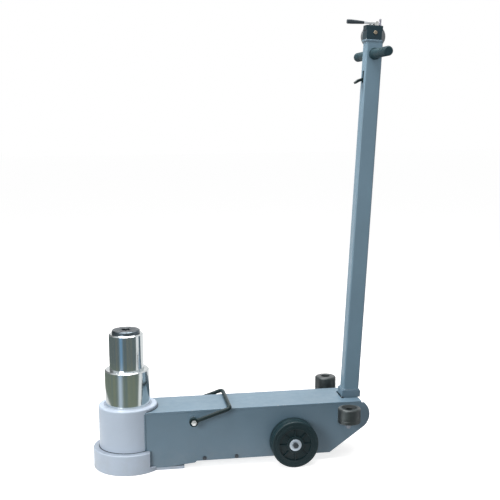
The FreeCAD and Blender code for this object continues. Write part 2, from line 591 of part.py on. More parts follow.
def make_tee():
    subpart("tee_bar", on_handle(cylinder("tee", "tee_radius", "2 * tee_half", 0, "-tee_half",
                                          "tee_z", "y")))
    for side in SIDES:
        ribs = []
        for number in range(SIZES["rib_count"]):
            start = f"(grip_end - rib_pitch * {number + 1})"
            ribs += [("grip_radius", f"{start} + rib_pitch / 2"),
                     ("grip_radius - rib_depth", f"{start} + rib_pitch / 2"),
                     ("grip_radius - rib_depth", start), ("grip_radius", start)]
        outline = [("tee_radius + seat", "grip_start"), ("tee_radius + seat", "tee_half + seat"),
                   (0, "tee_half + seat"), (0, "grip_end"), ("grip_radius - 2", "grip_end"),
                   ("grip_radius", "grip_end - 2")] + ribs[:-1] + [
                   ("grip_radius", "grip_start + grip_flange_thick"),
                   ("grip_flange", "grip_start + grip_flange_thick"), ("grip_flange", "grip_start")]
        subpart(f"{side}_grip", on_handle(turned(
            f"{side}_sleeve", outline, 0, 0, "tee_z", outward(side))))


def make_trigger():
    """The trigger hangs on a cross pin and lifts the rod that draws the lock out of its notch."""
    blade = flat("trigger_blade", [
        ("trigger_pivot_x", "trigger_z + trigger_eye"),
        ("-(tube_x / 2 + 1.5)", "trigger_z + 2"), ("-(tube_x / 2 + 13.5)", "trigger_z - 2.5"),
        ("-(tube_x / 2 + 23)", "trigger_z - 11"), ("-(tube_x / 2 + 20.5)", "trigger_z - 15.5"),
        ("-(tube_x / 2 + 11)", "trigger_z - 9.5"), ("-(tube_x / 2)", "trigger_z - 5.5"),
        ("trigger_pivot_x", "trigger_z - trigger_eye")], "-trigger_half", "trigger_half")
    eye = cylinder("trigger_boss", "trigger_eye", "2 * trigger_half", "trigger_pivot_x", "-trigger_half",
                   "trigger_z", "y")
    hole = cylinder("trigger_bore", "trigger_pin_radius + running", "4 * trigger_half",
                    "trigger_pivot_x", "-2 * trigger_half", "trigger_z", "y")
    slot = box("rod_gap", ("-rod_slot", "rod_slot"), ("-(rod_radius + 0.5)", "rod_radius + 0.5"),
               ("trigger_z - 20", "trigger_z + 20"))
    subpart("trigger", on_handle(cut("trigger_cut", fuse("trigger_solid", blade, eye), hole, slot)))
    subpart("trigger_pin", on_handle(cylinder(
        "pin", "trigger_pin_radius", "tube_y", "trigger_pivot_x", "-tube_y / 2", "trigger_z", "y")))
    low = "(sector_radius + lock_clear)"
    rod = cylinder("rod_bar", "rod_radius", f"trigger_z + rod_rise - {low}", 0, 0, low)
    bolt = cylinder("rod_bolt", "bolt_radius", "lock_bolt_high", 0, 0, low)
    cross = cylinder("rod_cross_pin", "cross_pin", "2 * (trigger_half - 0.5)", 0,
                     "-(trigger_half - 0.5)", "trigger_z + cross_pin_rise", "y")
    subpart("release_rod", on_handle(fuse("release", rod, bolt, cross)))


# ---- control head -------------------------------------------------------------------------------
def make_head():
    """The air control valve on top of the tube, with its round cover and nipple."""
    subpart("head_plate", on_handle(box("head", ("-head_front", "head_back"), ("-tube_y / 2 - 1",
            "tube_y / 2"), ("tube_top + seat", "block_low"))))
    bore = cylinder("plunger_hole", "plunger_radius + running", "4 * cap_high", "plunger_x", 0,
                    "plunger_low - 3")
    block = box("block_body", ("-block_front", "block_back"), ("-block_low_y", "tube_y / 2"),
                ("block_low", "cap_low"))
    screw_hole = cylinder("cover_screw_hole", "cover_screw / 2 + seat", 10, "cover_screw_x",
                          "-block_low_y - 2", "block_low + cover_screw_rise", "y")
    subpart("valve_block", on_handle(cut("block", block, bore, screw_hole)))
    cap = box("cap_body", ("-cap_front", "cap_back"), ("-cap_half", "cap_half"), ("cap_low", "cap_top"))
    cap_bore = cylinder("cap_bore", "plunger_radius + running", "4 * cap_high", "plunger_x", 0, "block_low")
    nipple_hole = cylinder("nipple_hole", "nipple_radius + seat", "2 * cap_high", "nipple_x", 0,
                           "cap_top - 8")
    subpart("valve_cap", on_handle(cut("cap", cap, cap_bore, nipple_hole)))
    nipple = fuse("nipple_set",
                  cylinder("nipple_stem", "nipple_radius", "nipple_high + 7", "nipple_x", 0,
                           "cap_top - 7"),
                  cylinder("nipple_collar", "nipple_base", "nipple_base_high", "nipple_x", 0, "cap_top"))
    subpart("air_nipple", on_handle(nipple))
    subpart("valve_cover", on_handle(turned("cover_disc", [
        (0, 0), ("disc_radius", 0), ("disc_radius", "disc_thick"), (0, "disc_thick")],
        "disc_x", "tube_y / 2 + seat", "tube_top + disc_rise", "y", edges=[("disc_radius", "disc_thick")],
        edge_radius="disc_edge")))
    screw = fuse("cover_bolt",
                 cylinder("cover_shank", "cover_screw / 2", 7, "cover_screw_x", "-block_low_y",
                          "block_low + cover_screw_rise", "y"),
                 cylinder("cover_head", "cover_screw", "cover_screw_high", "cover_screw_x",
                          "-(block_low_y + cover_screw_high)", "block_low + cover_screw_rise", "y"))
    subpart("valve_screw", on_handle(screw))


def make_clevis():
    """The clevis on the cap whose two rounded ears carry the lever's pin."""
    wide = ("ear_x - ear_half", "ear_x + ear_half")
    half = "(lever_half + gap + ear_thick)"
    solids = [box("clevis_foot", wide, (f"-{half}", half), ("cap_top + seat", "cap_top + clevis_base"))]
    for side in SIDES:
        low, high = span(side, "lever_half + gap", "lever_half + gap + ear_thick")
        solids += [box(f"{side}_ear", wide, (low, high), ("cap_top + seat", "lever_z")),
                   cylinder(f"{side}_ear_top", "ear_half", "ear_thick", "ear_x", low, "lever_z", "y")]
    hole = cylinder("lever_pin_hole", "lever_pin_radius + seat", "4 * cap_half", "ear_x",
                    "-2 * cap_half", "lever_z", "y")
    subpart("lever_clevis", on_handle(cut("clevis", fuse("clevis_blank", *solids), hole)))
    subpart("lever_pin", on_handle(cylinder("hinge_pin", "lever_pin_radius", f"2 * {half}", "ear_x",
                                            f"-{half}", "lever_z", "y")))


def make_lever():
    """The control lever: a steel bar hinged in its clevis, with a tapered grip."""
    low, high = f"(lever_z - lever_thick / 2)", f"(lever_z + lever_thick / 2)"
    bar = fuse("lever_blank",
               box("lever_bar", ("lever_front", "lever_back"), ("-lever_half", "lever_half"), (low, high)),
               cylinder("lever_eye", "lever_back - ear_x", "2 * lever_half", "ear_x", "-lever_half",
                        "lever_z", "y"))
    hole = cylinder("lever_hole", "lever_pin_radius + running", "4 * lever_half", "ear_x",
                    "-2 * lever_half", "lever_z", "y")
    subpart("control_lever", on_handle(cut("lever", bar, hole)))
    grip = flat("lever_sleeve", [
        ("grip_front", "lever_z - grip_tip + 1.5"), ("grip_front + 1.5", "lever_z - grip_tip"),
        ("grip_front + 14", "lever_z - grip_tip"), ("grip_back", "lever_z - grip_root"),
        ("grip_back", "lever_z + grip_root"), ("grip_front + 14", "lever_z + grip_tip"),
        ("grip_front + 1.5", "lever_z + grip_tip"), ("grip_front", "lever_z + grip_tip - 1.5")],
        "-grip_half", "grip_half")
    space = box("lever_space", ("lever_front - seat", "grip_back + 1"), ("-(lever_half + seat)",
                "lever_half + seat"), (f"{low} - seat", f"{high} + seat"))
    subpart("lever_grip", on_handle(cut("sleeve", grip, space)))
    subpart("valve_plunger", on_handle(cylinder(
        "plunger", "plunger_radius", f"{low} - plunger_gap - plunger_low", "plunger_x", 0,
        "plunger_low")))


# ---- carrying bail ------------------------------------------------------------------------------
def make_bail():
    """A bent round bar on two side bolts, drawn with its arms along +X, that lies on the deck."""
    bar = bent_bar("bail_bar", [
        ("bail_eye - 2", "-bail_half", 0), ("bail_length", "-bail_half", 0),
        ("bail_length", "bail_half", 0), ("bail_eye - 2", "bail_half", 0)], "bail_bend", "bail_wire")
    eyes, holes, bolts = [], [], []
    for side in SIDES:
        out = outward(side)
        eyes.append(cylinder(f"{side}_eye", "bail_eye", "2 * bail_eye_half", 0,
                             mirrored(side, "bail_inner"), 0, out))
        holes.append(cylinder(f"{side}_eye_hole", "bail_bolt + running", "4 * bail_eye_half", 0,
                              mirrored(side, "bail_inner - bail_eye_half"), 0, out))
        bolts.append(fuse(
            f"{side}_bail_bolt",
            cylinder(f"{side}_bail_shank", "bail_bolt", "bail_inner + 2 * bail_eye_half + gap - half_width"
                     " + plate", "bail_x", mirrored(side, "half_width - plate"), "bail_z", out),
            cylinder(f"{side}_bail_spacer", "bail_spacer", "bail_inner - gap - half_width", "bail_x",
                     mirrored(side, "half_width"), "bail_z", out),
            hexagon(f"{side}_bail_head", "bail_head_flats", "bail_head", "bail_x",
                    mirrored(side, "bail_inner + 2 * bail_eye_half + gap"), "bail_z", out)))
    bail = cut("bail_cut", fuse("bail_blank", bar, *eyes), *holes)
    subpart("carrying_bail", tilt(bail, "bail_x", "bail_z", "-bail_rise"))
    subpart("bail_bolts", fuse("bail_bolt_pair", *bolts))


# ---- stored ram extensions ----------------------------------------------------------------------
def make_adapter(side):
    """A ram extension, and the bent bar on the chassis whose upright end it is slipped over."""
    out = outward(side)
    far = mirrored(side, "adapter_y")
    top = f"(adapter_low + {side}_adapter_high)"
    subpart(f"{side}_adapter", turned(f"{side}_extension", [
        ("hook_wire + peg_play", "adapter_low"), ("adapter_radius - 1", "adapter_low"),
        ("adapter_radius", "adapter_low + 1"), ("adapter_radius", f"{top} - adapter_edge"),
        ("adapter_radius - adapter_edge", top), ("adapter_bore", top),
        ("adapter_bore", f"{top} - adapter_socket"),
        ("hook_wire + peg_play", f"{top} - adapter_socket")], "adapter_x", far, 0))
    start = mirrored(side, "half_width - plate")
    bar = bent_bar(f"{side}_hook_bar", [
        ("adapter_x", start, "hook_z"), ("adapter_x", far, "hook_z"),
        ("adapter_x", far, "adapter_low + hook_peg")], "hook_bend", "hook_wire")
    flange = cylinder(f"{side}_hook_flange", "hook_flange", "hook_flange_thick", "adapter_x",
                      mirrored(side, "half_width"), "hook_z", out)
    collar = cylinder(f"{side}_hook_collar", "hook_collar", "hook_collar_high", "adapter_x", far,
                      "adapter_low - gap - hook_collar_high")
    subpart(f"{side}_adapter_hook", fuse(f"{side}_hook", bar, flange, collar))


# ---- tank, pump and air motor -------------------------------------------------------------------
def make_tank():
    outside = box("tank_outside", ("tank_start", "tank_end"), ("-inside", "inside"),
                  ("tank_low", "tank_high"))
    inside = box("tank_inside", ("tank_start + tank_wall", "tank_end - tank_wall"),
                 ("-(inside - tank_wall)", "inside - tank_wall"),
                 ("tank_low + tank_wall", "tank_high - tank_wall"))
    hole = cylinder("tank_hole", "plug_radius + seat", "2 * tank_wall", "plug_x", 0,
                    "tank_high - 1.5 * tank_wall")
    subpart("oil_tank", cut("tank", outside, inside, hole))
    subpart("tank_plug", fuse("plug", cylinder("plug_shank", "plug_radius", "plug_depth", "plug_x", 0,
                              "tank_high - plug_depth"),
                              cylinder("plug_cap", "plug_head", "plug_head_high", "plug_x", 0,
                                       "tank_high")))


def make_pump():
    subpart("pump_shelf", box("shelf", ("shelf_start", "shelf_end"), ("-inside", "inside"),
                              ("shelf_low", "shelf_low + shelf_thick")))
    block = box("pump_body", ("pump_start", "pump_end"), ("-pump_half", "pump_half"),
                ("shelf_low + shelf_thick", "pump_high"))
    bore = cylinder("pump_bore", "plunger_rod + running", "plunger_bore + 1",
                    "pump_end - plunger_bore", 0, "motor_z", "x")
    port = cylinder("pump_port", "pipe_radius + seat", "pipe_in_pump + 5",
                    "pump_start - 4", 0, "pipe_high", "x")
    places = [(across, up) for across in ("-motor_bolt_place", "motor_bolt_place")
              for up in ("motor_z - motor_bolt_place", "motor_z + motor_bolt_place")]
    block_holes, cap_holes, bolts = [], [], []
    for number, (across, up) in enumerate(places):
        block_holes.append(cylinder(f"pump_thread_{number}", "motor_bolt + seat", 20, "pump_end - 16",
                                    across, up, "x"))
        cap_holes.append(cylinder(f"cap_hole_{number}", "motor_bolt + seat", "3 * motor_cap",
                                  "motor_end - motor_cap", across, up, "x"))
        bolts.append(fuse(
            f"motor_bolt_{number}",
            cylinder(f"motor_shank_{number}", "motor_bolt", "motor_length + motor_cap + 15",
                     "pump_end - 15", across, up, "x"),
            hexagon(f"motor_head_{number}", "2 * motor_bolt_head", "motor_bolt_head",
                    "motor_end + motor_cap", across, up, "x")))
    subpart("pump_block", cut("pump", block, bore, port, *block_holes))
    subpart("air_cylinder", cut(
        "motor_tube", cylinder("motor_outside", "motor_radius", "motor_length", "pump_end", 0, "motor_z",
                               "x"),
        cylinder("motor_inside", "motor_bore", "motor_length + 2", "pump_end - 1", 0, "motor_z", "x")))
    cap = box("motor_cap_block", ("motor_end", "motor_end + motor_cap"),
              ("-motor_cap_half", "motor_cap_half"),
              ("motor_z - motor_cap_half", "motor_z + motor_cap_half"))
    subpart("air_cylinder_cap", cut("motor_lid", cap, *cap_holes))
    subpart("motor_bolts", fuse("motor_bolt_set", *bolts))
    subpart("air_piston", fuse(
        "air_ram",
        cylinder("piston_disc", "motor_bore - running", "piston_thick", "pump_end + piston_start", 0,
                 "motor_z", "x"),
        cylinder("piston_rod", "plunger_rod", "piston_start + plunger_end", "pump_end - plunger_end", 0,
                 "motor_z", "x")))


def make_pipe():
    subpart("pressure_pipe", bent_bar("pipe", [
        ("housing_bore + pipe_in_housing", 0, "pipe_low"), ("pipe_up_x", 0, "pipe_low"),
        ("pipe_up_x", 0, "pipe_high"), ("pump_start + pipe_in_pump", 0, "pipe_high")],
        "pipe_bend", "pipe_radius"))
    fittings = []
    for name, start, length, height in (
            ("housing", "housing_radius + seat", "fitting_length", "pipe_low"),
            ("pump", "pump_start - short_fitting - seat", "short_fitting", "pipe_high")):
        nut = hexagon(f"{name}_nut", "2 * fitting_radius", length, start, 0, height, "x")
        hole = cylinder(f"{name}_nut_hole", "pipe_radius + seat", "3 * fitting_length",
                        f"{start} - fitting_length", 0, height, "x")
        fittings.append(cut(f"{name}_fitting", nut, hole))
    subpart("pipe_fittings", fuse("fitting_pair", *fittings))


make_foot()
make_housing()
make_rams()
make_saddle()
make_top_plate()
make_tray()
make_axle()
make_handle_mount()
make_yoke()
make_tube()
make_tee()
make_trigger()
make_head()
make_clevis()
make_lever()
make_bail()
for one_side in SIDES:
    make_side_plate(one_side)
    make_wheel(one_side)
    make_adapter(one_side)
make_tank()
make_pump()
make_pipe()
doc.recompute()

# ---- checks and export --------------------------------------------------------------------------
for item in doc.Objects:
    if {"Invalid", "Error"} & set(item.State):
        raise RuntimeError(f"{item.Name} did not compute: {item.State}")
for piece in subparts:
    if piece.Shape.isNull() or not piece.Shape.isValid() or piece.Shape.Volume <= 0:
        raise RuntimeError(f"{piece.Label} has no valid solid")

os.makedirs("parts", exist_ok=True)
for piece in subparts:
    piece.Shape.exportStep(f"parts/{piece.Label}.step")
    print(f"{piece.Label:20s} solids {len(piece.Shape.Solids)} volume {piece.Shape.Volume:12.1f}")
print(len(subparts), "nodes")
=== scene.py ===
import json
import math
from functools import partial

import bmesh
import bpy
from bpy.props import FloatProperty, FloatVectorProperty, IntProperty, PointerProperty
from mathutils import Matrix, Vector


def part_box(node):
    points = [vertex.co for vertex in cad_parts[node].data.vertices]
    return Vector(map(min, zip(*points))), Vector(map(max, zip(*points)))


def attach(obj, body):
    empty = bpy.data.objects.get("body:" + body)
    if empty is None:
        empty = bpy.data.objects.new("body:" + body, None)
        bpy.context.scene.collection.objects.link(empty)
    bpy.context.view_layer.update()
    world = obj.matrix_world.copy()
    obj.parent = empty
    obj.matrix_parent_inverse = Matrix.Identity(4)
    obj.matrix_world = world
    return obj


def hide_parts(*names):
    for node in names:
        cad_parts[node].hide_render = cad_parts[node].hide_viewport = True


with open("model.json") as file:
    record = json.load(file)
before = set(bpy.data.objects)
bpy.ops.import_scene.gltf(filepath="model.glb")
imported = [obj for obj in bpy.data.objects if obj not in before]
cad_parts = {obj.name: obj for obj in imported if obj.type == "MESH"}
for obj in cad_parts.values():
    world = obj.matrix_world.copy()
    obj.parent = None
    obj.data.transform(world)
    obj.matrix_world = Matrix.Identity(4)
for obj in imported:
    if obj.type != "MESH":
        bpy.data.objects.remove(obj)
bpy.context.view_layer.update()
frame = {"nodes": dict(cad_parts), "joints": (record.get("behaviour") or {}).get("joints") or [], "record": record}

# The finish of a two-stage air-hydraulic floor jack, in metres, in the frame of its construction model:
# the ram stands on the origin, +X runs back to the handle and -Y is the jack's left side.

bl_info = {
    "name": "Two-stage floor jack",
    "version": (1, 0, 0),
    "blender": (4, 5, 0),
    "location": "View3D > Sidebar > Jack",
    "description": "Finishes the plates, rams, wheels, handle and fittings of an air-hydraulic floor jack",
    "category": "Object",
}

JOINTS = {joint["name"]: joint for joint in frame["joints"]}
NODE_SLOTS = {part["node"]: part["material_slot"] for part in frame["record"]["subparts"]}
# the finish on a painted node's edges, worn and with a painted highlight, by the paint on its faces
EDGES = {"chassis_paint": "chassis_edge", "handle_paint": "handle_edge", "housing_paint": "casting_edge",
         "valve_body": "valve_edge"}
# which way along Y each side lies
SIDES = {"left": -1, "right": 1}
TURN = 2 * math.pi
# an angle between faces past which a shaded surface shows a crease
SHARP = math.radians(35)
# an angle between a node's faces past which its edge is rounded, and one below which they are one flat
ROUNDED, FLAT = math.radians(40), math.radians(0.4)
# corners nearer than this are one corner, in a node's loose triangles and in a piece
NODE_JOIN, PIECE_JOIN = 0.00001, 0.000002
UPRIGHT = Vector(JOINTS["lock_rod_slide"]["axis"])
# The handle's own frame: the pivot at its origin, +Z up the leaning tube, +X to the back, +Y to the right.
HANDLE = (Matrix.Translation(JOINTS["handle_tilt"]["pos_m"])
          @ Vector((0, 0, 1)).rotation_difference(UPRIGHT).to_matrix().to_4x4())


def side_view(joint):
    """Where a cross axis shows in the view from the side, as (x, z)."""
    x, _, z = JOINTS[joint]["pos_m"]
    return x, z


AXLE = side_view("left_wheel_spin")
BAIL = side_view("bail_swing")
# a stored extension: its axis back from the ram and out from the middle, and the height of its base
STORE_BACK, STORE_OUT, STORE_BASE = 0.593, 0.140, 0.1298


# ---- sizes and colours that a user would change --------------------------------------------------
def number(label, text, default, least=0, **settings):
    return FloatProperty(name=label, description=text, default=default, min=least, **settings)


def length(label, text, default):
    return number(label, text, default, unit="LENGTH", precision=4)


def count(label, text, default):
    return IntProperty(name=label, description=text, default=default, min=3)


def colour(label, text, default):
    return FloatVectorProperty(name=label, description=text, default=default, size=3, subtype="COLOR",
                               min=0, max=1)


class JackSizes(bpy.types.PropertyGroup):
    """Sizes of the finishing detail."""
    edge_round: length("Edge rounding", "Radius left on a plate's edges after deburring", 0.0011)
    bead_radius: length("Weld bead", "Half the width of a weld bead", 0.0030)
    bead_pitch: length("Weld ripple", "Distance between the ripples of a weld bead", 0.0034)
    grip_rib_pitch: length("Grip rib pitch", "Distance between the ribs of a handle grip", 0.0070)
    grip_rib_depth: length("Grip rib depth", "Depth of the grooves between a grip's ribs", 0.0016)
    hub_ribs: count("Hub ribs", "Ribs moulded across a wheel's web", 8)
    cover_screws: count("Cover screws", "Screws round the valve's cover", 6)
    hub_rib_width: length("Hub rib width", "Thickness of a hub rib", 0.0040)
    groove: length("Tread groove", "Width of the grooves round a tyre's tread", 0.0030)


class JackColours(bpy.types.PropertyGroup):
    """Base colours of the finishes."""
    chassis: colour("Chassis paint", "Blue-grey paint on the plates and the handle's socket",
                    (0.098, 0.159, 0.209))
    # the handle's tube: the chassis paint made lighter, as painted light on the tube
    handle: colour("Handle paint", "Blue-grey paint on the handle's tube", (0.119, 0.198, 0.259))
    casting: colour("Casting paint", "Light grey paint on the foot and the ram housing",
                    (0.375, 0.445, 0.535))
    rubber: colour("Wheel rubber", "Solid tyres", (0.003, 0.015, 0.019))
    grip: colour("Grip rubber", "Ribbed sleeves on the tee bar", (0.0075, 0.029, 0.038))
    enamel: colour("Black enamel", "Carrying bail, tee bar and trigger", (0.006, 0.016, 0.018))
    valve: colour("Valve paint", "Control valve's block and cap", (0.004, 0.022, 0.032))


class JackStage(bpy.types.PropertyGroup):
    """Camera, lights and floor."""
    camera_place: FloatVectorProperty(name="Camera", description="Where the camera stands", size=3,
                                      default=(-0.0419, -2.5192, 0.9655), subtype="TRANSLATION",
                                      unit="LENGTH")
    camera_turn: FloatVectorProperty(name="Camera turn", size=3, subtype="EULER", unit="ROTATION",
                                     description="Heading right of +Y, pitch above level, and roll",
                                     default=tuple(math.radians(a) for a in (8.749, -8.363, -0.529)))
    lens: number("Lens", "Focal length in millimetres", 67.28, 1)
    key_power: number("Key light", "Power of the light at the front left, in watts", 21.5)
    top_power: number("Top light", "Power of the large light overhead, in watts", 94)
    sky: number("Room light", "Strength of the even light all round", 0.43)
    floor: colour("Floor", "Pale floor", (0.50, 0.50, 0.50))
    glow: number("Floor glow", "Light that the translucent floor gives off itself", 0.76)


# ---- node trees -----------------------------------------------------------------------------------
class Tree:
    """Short calls for the nodes that materials, the room and the geometry trees share."""

    def __init__(self, tree):
        self.nodes, self.links = tree.nodes, tree.links

    def feed(self, socket, source):
        """Links a source that is itself a socket, and writes any other into the socket."""
        if isinstance(source, bpy.types.NodeSocket):
            self.links.new(source, socket)
        else:
            socket.default_value = source

    def add(self, kind, inputs, output=0, **settings):
        node = self.nodes.new(kind)
        for key, setting in settings.items():
            setattr(node, key, setting)
        for key, source in inputs.items():
            self.feed(node.inputs[key], source)
        return node.outputs[output]

    def calc(self, operation, first, second=0.0):
        return self.add("ShaderNodeMath", {0: first, 1: second}, operation=operation)

    def product(self, first, second):
        return self.calc("MULTIPLY", first, second)

    def less(self, first, second):
        return self.calc("SUBTRACT", first, second)

    def between(self, factor, start, end, low, high, **settings):
        """low where the factor is at start, high where it is at end, and held beyond them."""
        return self.add("ShaderNodeMapRange", {"Value": factor, "From Min": start, "From Max": end,
                                               "To Min": low, "To Max": high}, **settings)

    def wander(self, along, scale, detail=2.0):
        """Noise along a line."""
        return self.add("ShaderNodeTexNoise", {"W": along, "Scale": scale, "Detail": detail},
                        noise_dimensions="1D")

    def vector(self, **parts):
        return self.add("ShaderNodeCombineXYZ", parts)

    def part(self, vector, axis):
        return self.add("ShaderNodeSeparateXYZ", {0: vector}, output="XYZ".index(axis))


class Shader(Tree):
    """A material on its object's own coordinates."""

    def __init__(self, name, **uniform):
        self.material = bpy.data.materials.new(name)
        self.material.use_nodes = True
        super().__init__(self.material.node_tree)
        self.nodes.clear()
        self.surface = self.nodes.new("ShaderNodeBsdfPrincipled")
        for socket, number in uniform.items():
            self.surface.inputs[socket.replace("_", " ")].default_value = number
        output = self.nodes.new("ShaderNodeOutputMaterial")
        self.links.new(self.surface.outputs[0], output.inputs["Surface"])
        self.place = self.nodes.new("ShaderNodeTexCoord").outputs["Object"]

    def stretched(self, scale, centre=(0, 0, 0)):
        """The object's own coordinates about a centre, scaled along each axis."""
        moved = self.add("ShaderNodeVectorMath", {0: self.place, 1: centre}, operation="SUBTRACT")
        return self.add("ShaderNodeVectorMath", {0: moved, 1: scale}, operation="MULTIPLY")

    def distance(self, vector):
        return self.add("ShaderNodeVectorMath", {0: vector}, output="Value", operation="LENGTH")

    def height(self, axis):
        return self.part(self.place, axis)

    def noise(self, scale, detail=3.0, place=None, roughness=0.55):
        return self.add("ShaderNodeTexNoise", {"Vector": place or self.place, "Scale": scale,
                                               "Detail": detail, "Roughness": roughness})

    def patches(self, scale, start, end, low=0.0, high=1.0, **grain):
        """Noise that is low up to its level start, and high from its level end."""
        return self.between(self.noise(scale, **grain), start, end, low, high)

    def wavering(self, scale, low, high):
        """A roughness that drifts between two values."""
        return self.patches(scale, 0.3, 0.7, low, high)

    def mix(self, factor, first, second):
        """A colour mix; its node has sockets of the same names for other kinds, so these go by number."""
        colour_a, colour_b, result = 6, 7, 2
        node = self.nodes.new("ShaderNodeMix")
        node.data_type = "RGBA"
        for key, source in (("Factor", factor), (colour_a, first), (colour_b, second)):
            self.feed(node.inputs[key], (*source, 1) if hasattr(source, "__len__") else source)
        return node.outputs[result]

    def bump(self, height, depth, below=None):
        inputs = {"Height": height, "Distance": depth, "Strength": 1.0}
        if below is not None:
            inputs["Normal"] = below
        return self.add("ShaderNodeBump", inputs)

    def done(self, base, roughness, normal=None):
        for socket, source in (("Base Color", base), ("Roughness", roughness), ("Normal", normal)):
            if source is not None:
                self.links.new(source, self.surface.inputs[socket])
        return self.material


class Graph(Tree):
    """A Geometry Nodes tree with named inputs for its sizes."""

    def __init__(self, name, **sizes):
        self.group = bpy.data.node_groups.new(name, "GeometryNodeTree")
        super().__init__(self.group)
        face = self.group.interface
        face.new_socket("Geometry", in_out="INPUT", socket_type="NodeSocketGeometry")
        for label, number in sizes.items():
            kind = "NodeSocketInt" if isinstance(number, int) else "NodeSocketFloat"
            face.new_socket(label, in_out="INPUT", socket_type=kind).default_value = number
        face.new_socket("Geometry", in_out="OUTPUT", socket_type="NodeSocketGeometry")
        self.given = self.nodes.new("NodeGroupInput").outputs
        self.source = self.given[0]
        self.result = self.nodes.new("NodeGroupOutput").inputs[0]

    def join(self, *shapes):
        node = self.nodes.new("GeometryNodeJoinGeometry")
        for shape in shapes:
            self.links.new(shape, node.inputs[0])
        return node.outputs[0]

    def units(self, points, unit, **turn):
        """A unit's shape on each point, turned about the axes that are given."""
        shape = self.add("GeometryNodeObjectInfo", {"Object": unit}, output="Geometry")
        return self.add("GeometryNodeInstanceOnPoints", {"Points": points, "Instance": shape,
                                                         "Rotation": self.vector(**turn)})

    def line(self, spacing):
        """The base mesh's lines as curves, with their points this far apart."""
        curve = self.add("GeometryNodeMeshToCurve", {"Mesh": self.source})
        return self.add("GeometryNodeResampleCurve", {"Curve": curve, "Length": spacing}, mode="LENGTH")

    def along(self):
        """The distance along a line."""
        return self.add("GeometryNodeSplineParameter", {}, output="Length")

    def sweep(self, line, radius, steps):
        """A round body along a line."""
        ring = self.add("GeometryNodeCurvePrimitiveCircle", {"Resolution": steps, "Radius": 1.0})
        return self.add("GeometryNodeCurveToMesh", {"Curve": line, "Profile Curve": ring, "Scale": radius,
                                                    "Fill Caps": True})

    def close(self, shape):
        self.links.new(shape, self.result)

    def finish(self, shape, material):
        """Ends the tree with real geometry that carries its material."""
        real = self.add("GeometryNodeRealizeInstances", {"Geometry": shape})
        self.close(self.add("GeometryNodeSetMaterial", {"Geometry": real, "Material": material}))


# ---- finishes -------------------------------------------------------------------------------------
def shade(tone, *factors):
    """A tone with its parts scaled, all by one factor or each by its own."""
    parts = zip(tone, factors * 3 if len(factors) == 1 else factors)
    return tuple(min(1.0, part * factor) for part, factor in parts)


def painted(name, tone, peel=0.00008, gloss=0.36, dust=0.25, gleam=0.5, ledge=None):
    """Sprayed paint: soft mottling, a fine orange-peel skin, dust towards the floor and painted shade along a
    ledge.
    """
    shader = Shader(name, IOR=1.5, Specular_IOR_Level=gleam)
    dirt, dirt_top = (0.30, 0.29, 0.27), 0.07
    shade_line, shade_edge = 0.0004, 0.0016
    base = shader.mix(shader.patches(5.0, 0.35, 0.65, detail=4.0), shade(tone, 0.94), shade(tone, 1.06))
    base = shader.mix(shader.patches(420.0, 0.62, 0.75, 0.0, 0.35, detail=2.0), base, shade(tone, 1.25))
    low = shader.between(shader.height("Z"), 0.0, dirt_top, 1.0, 0.0)
    patch = shader.patches(22.0, 0.45, 0.75, 0.0, dust, detail=5.0, roughness=0.7)
    base = shader.mix(shader.product(low, patch), base, dirt)
    # painted shade, darker in patches, along the ledge where the wall above it meets it
    if ledge is not None:
        off = shader.calc("ABSOLUTE", shader.less(shader.height("Z"), ledge))
        thick = shader.patches(70.0, 0.2, 0.7, 0.55, 0.95)
        base = shader.mix(shader.between(off, shade_line, shade_edge, thick, 0.0), base, shade(tone, 0.62))
    sheen = shader.wavering(34.0, gloss - 0.05, gloss + 0.08)
    return shader.done(base, sheen, shader.bump(shader.noise(330.0, 2.0), peel))


def worn_highlit_paint(name, tone, metal=(0.36, 0.37, 0.38)):
    """Paint on an edge: thin, a little lighter as a painted highlight, and rubbed to bare steel in places."""
    shader = Shader(name)
    film = 0.00006
    rubbed = shader.patches(55.0, 0.60, 0.68, detail=5.0, roughness=0.7)
    # lighter all along the edge: paint worn thin, and a painted highlight
    thin = shader.mix(shader.noise(160.0), shade(tone, 1.12), shade(tone, 1.45))
    return shader.done(shader.mix(rubbed, thin, metal), shader.wavering(80.0, 0.30, 0.46),
                       shader.bump(rubbed, -film))


def chromed(name):
    """Hard chrome ground round the ram: fine hoop lines, and a film of oil that dulls it in patches."""
    shader = Shader(name, Metallic=1.0, Anisotropic=0.25)
    bare, oiled = (0.62, 0.66, 0.68), (0.53, 0.57, 0.56)
    hoop_grain, oil_grain, hoop_depth = (6.0, 6.0, 2600.0), (9.0, 9.0, 2.5), 0.000004
    hoops = shader.noise(1.0, 2.0, shader.stretched(hoop_grain))
    film = shader.patches(1.0, 0.40, 0.70, place=shader.stretched(oil_grain))
    fine = shader.between(hoops, 0.3, 0.7, 0.07, 0.13)
    dull = shader.calc("ADD", fine, shader.product(film, 0.05))
    return shader.done(shader.mix(film, bare, oiled), dull, shader.bump(hoops, hoop_depth))


def turned_steel(name, tone, node, axis):
    """Machined steel with the tool's rings round a node's own axis."""
    shader = Shader(name, Metallic=1.0)
    ring_grain, ring_depth = 2400.0, 0.00002
    across = tuple(0.0 if letter == axis else 1.0 for letter in "XYZ")
    low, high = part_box(node)
    radius = shader.distance(shader.stretched(across, (low + high) / 2))
    rings = shader.wander(shader.calc("ADD", radius, shader.height(axis)), ring_grain)
    base = shader.mix(shader.patches(45.0, 0.42, 0.66, detail=4.0), tone, shade(tone, 0.72))
    return shader.done(base, shader.between(rings, 0.3, 0.7, 0.23, 0.40), shader.bump(rings, ring_depth))


def plated(name, tone, gloss):
    """Zinc plate: bright, softly clouded, with a warm cast here and there."""
    shader = Shader(name, Metallic=1.0)
    base = shader.mix(shader.patches(60.0, 0.35, 0.68, detail=4.0), tone, shade(tone, 0.93, 0.89, 0.82))
    rough = shader.wavering(150.0, gloss - 0.04, gloss + 0.07)
    return shader.done(base, rough, shader.bump(shader.noise(500.0, 2.0), 0.000004))


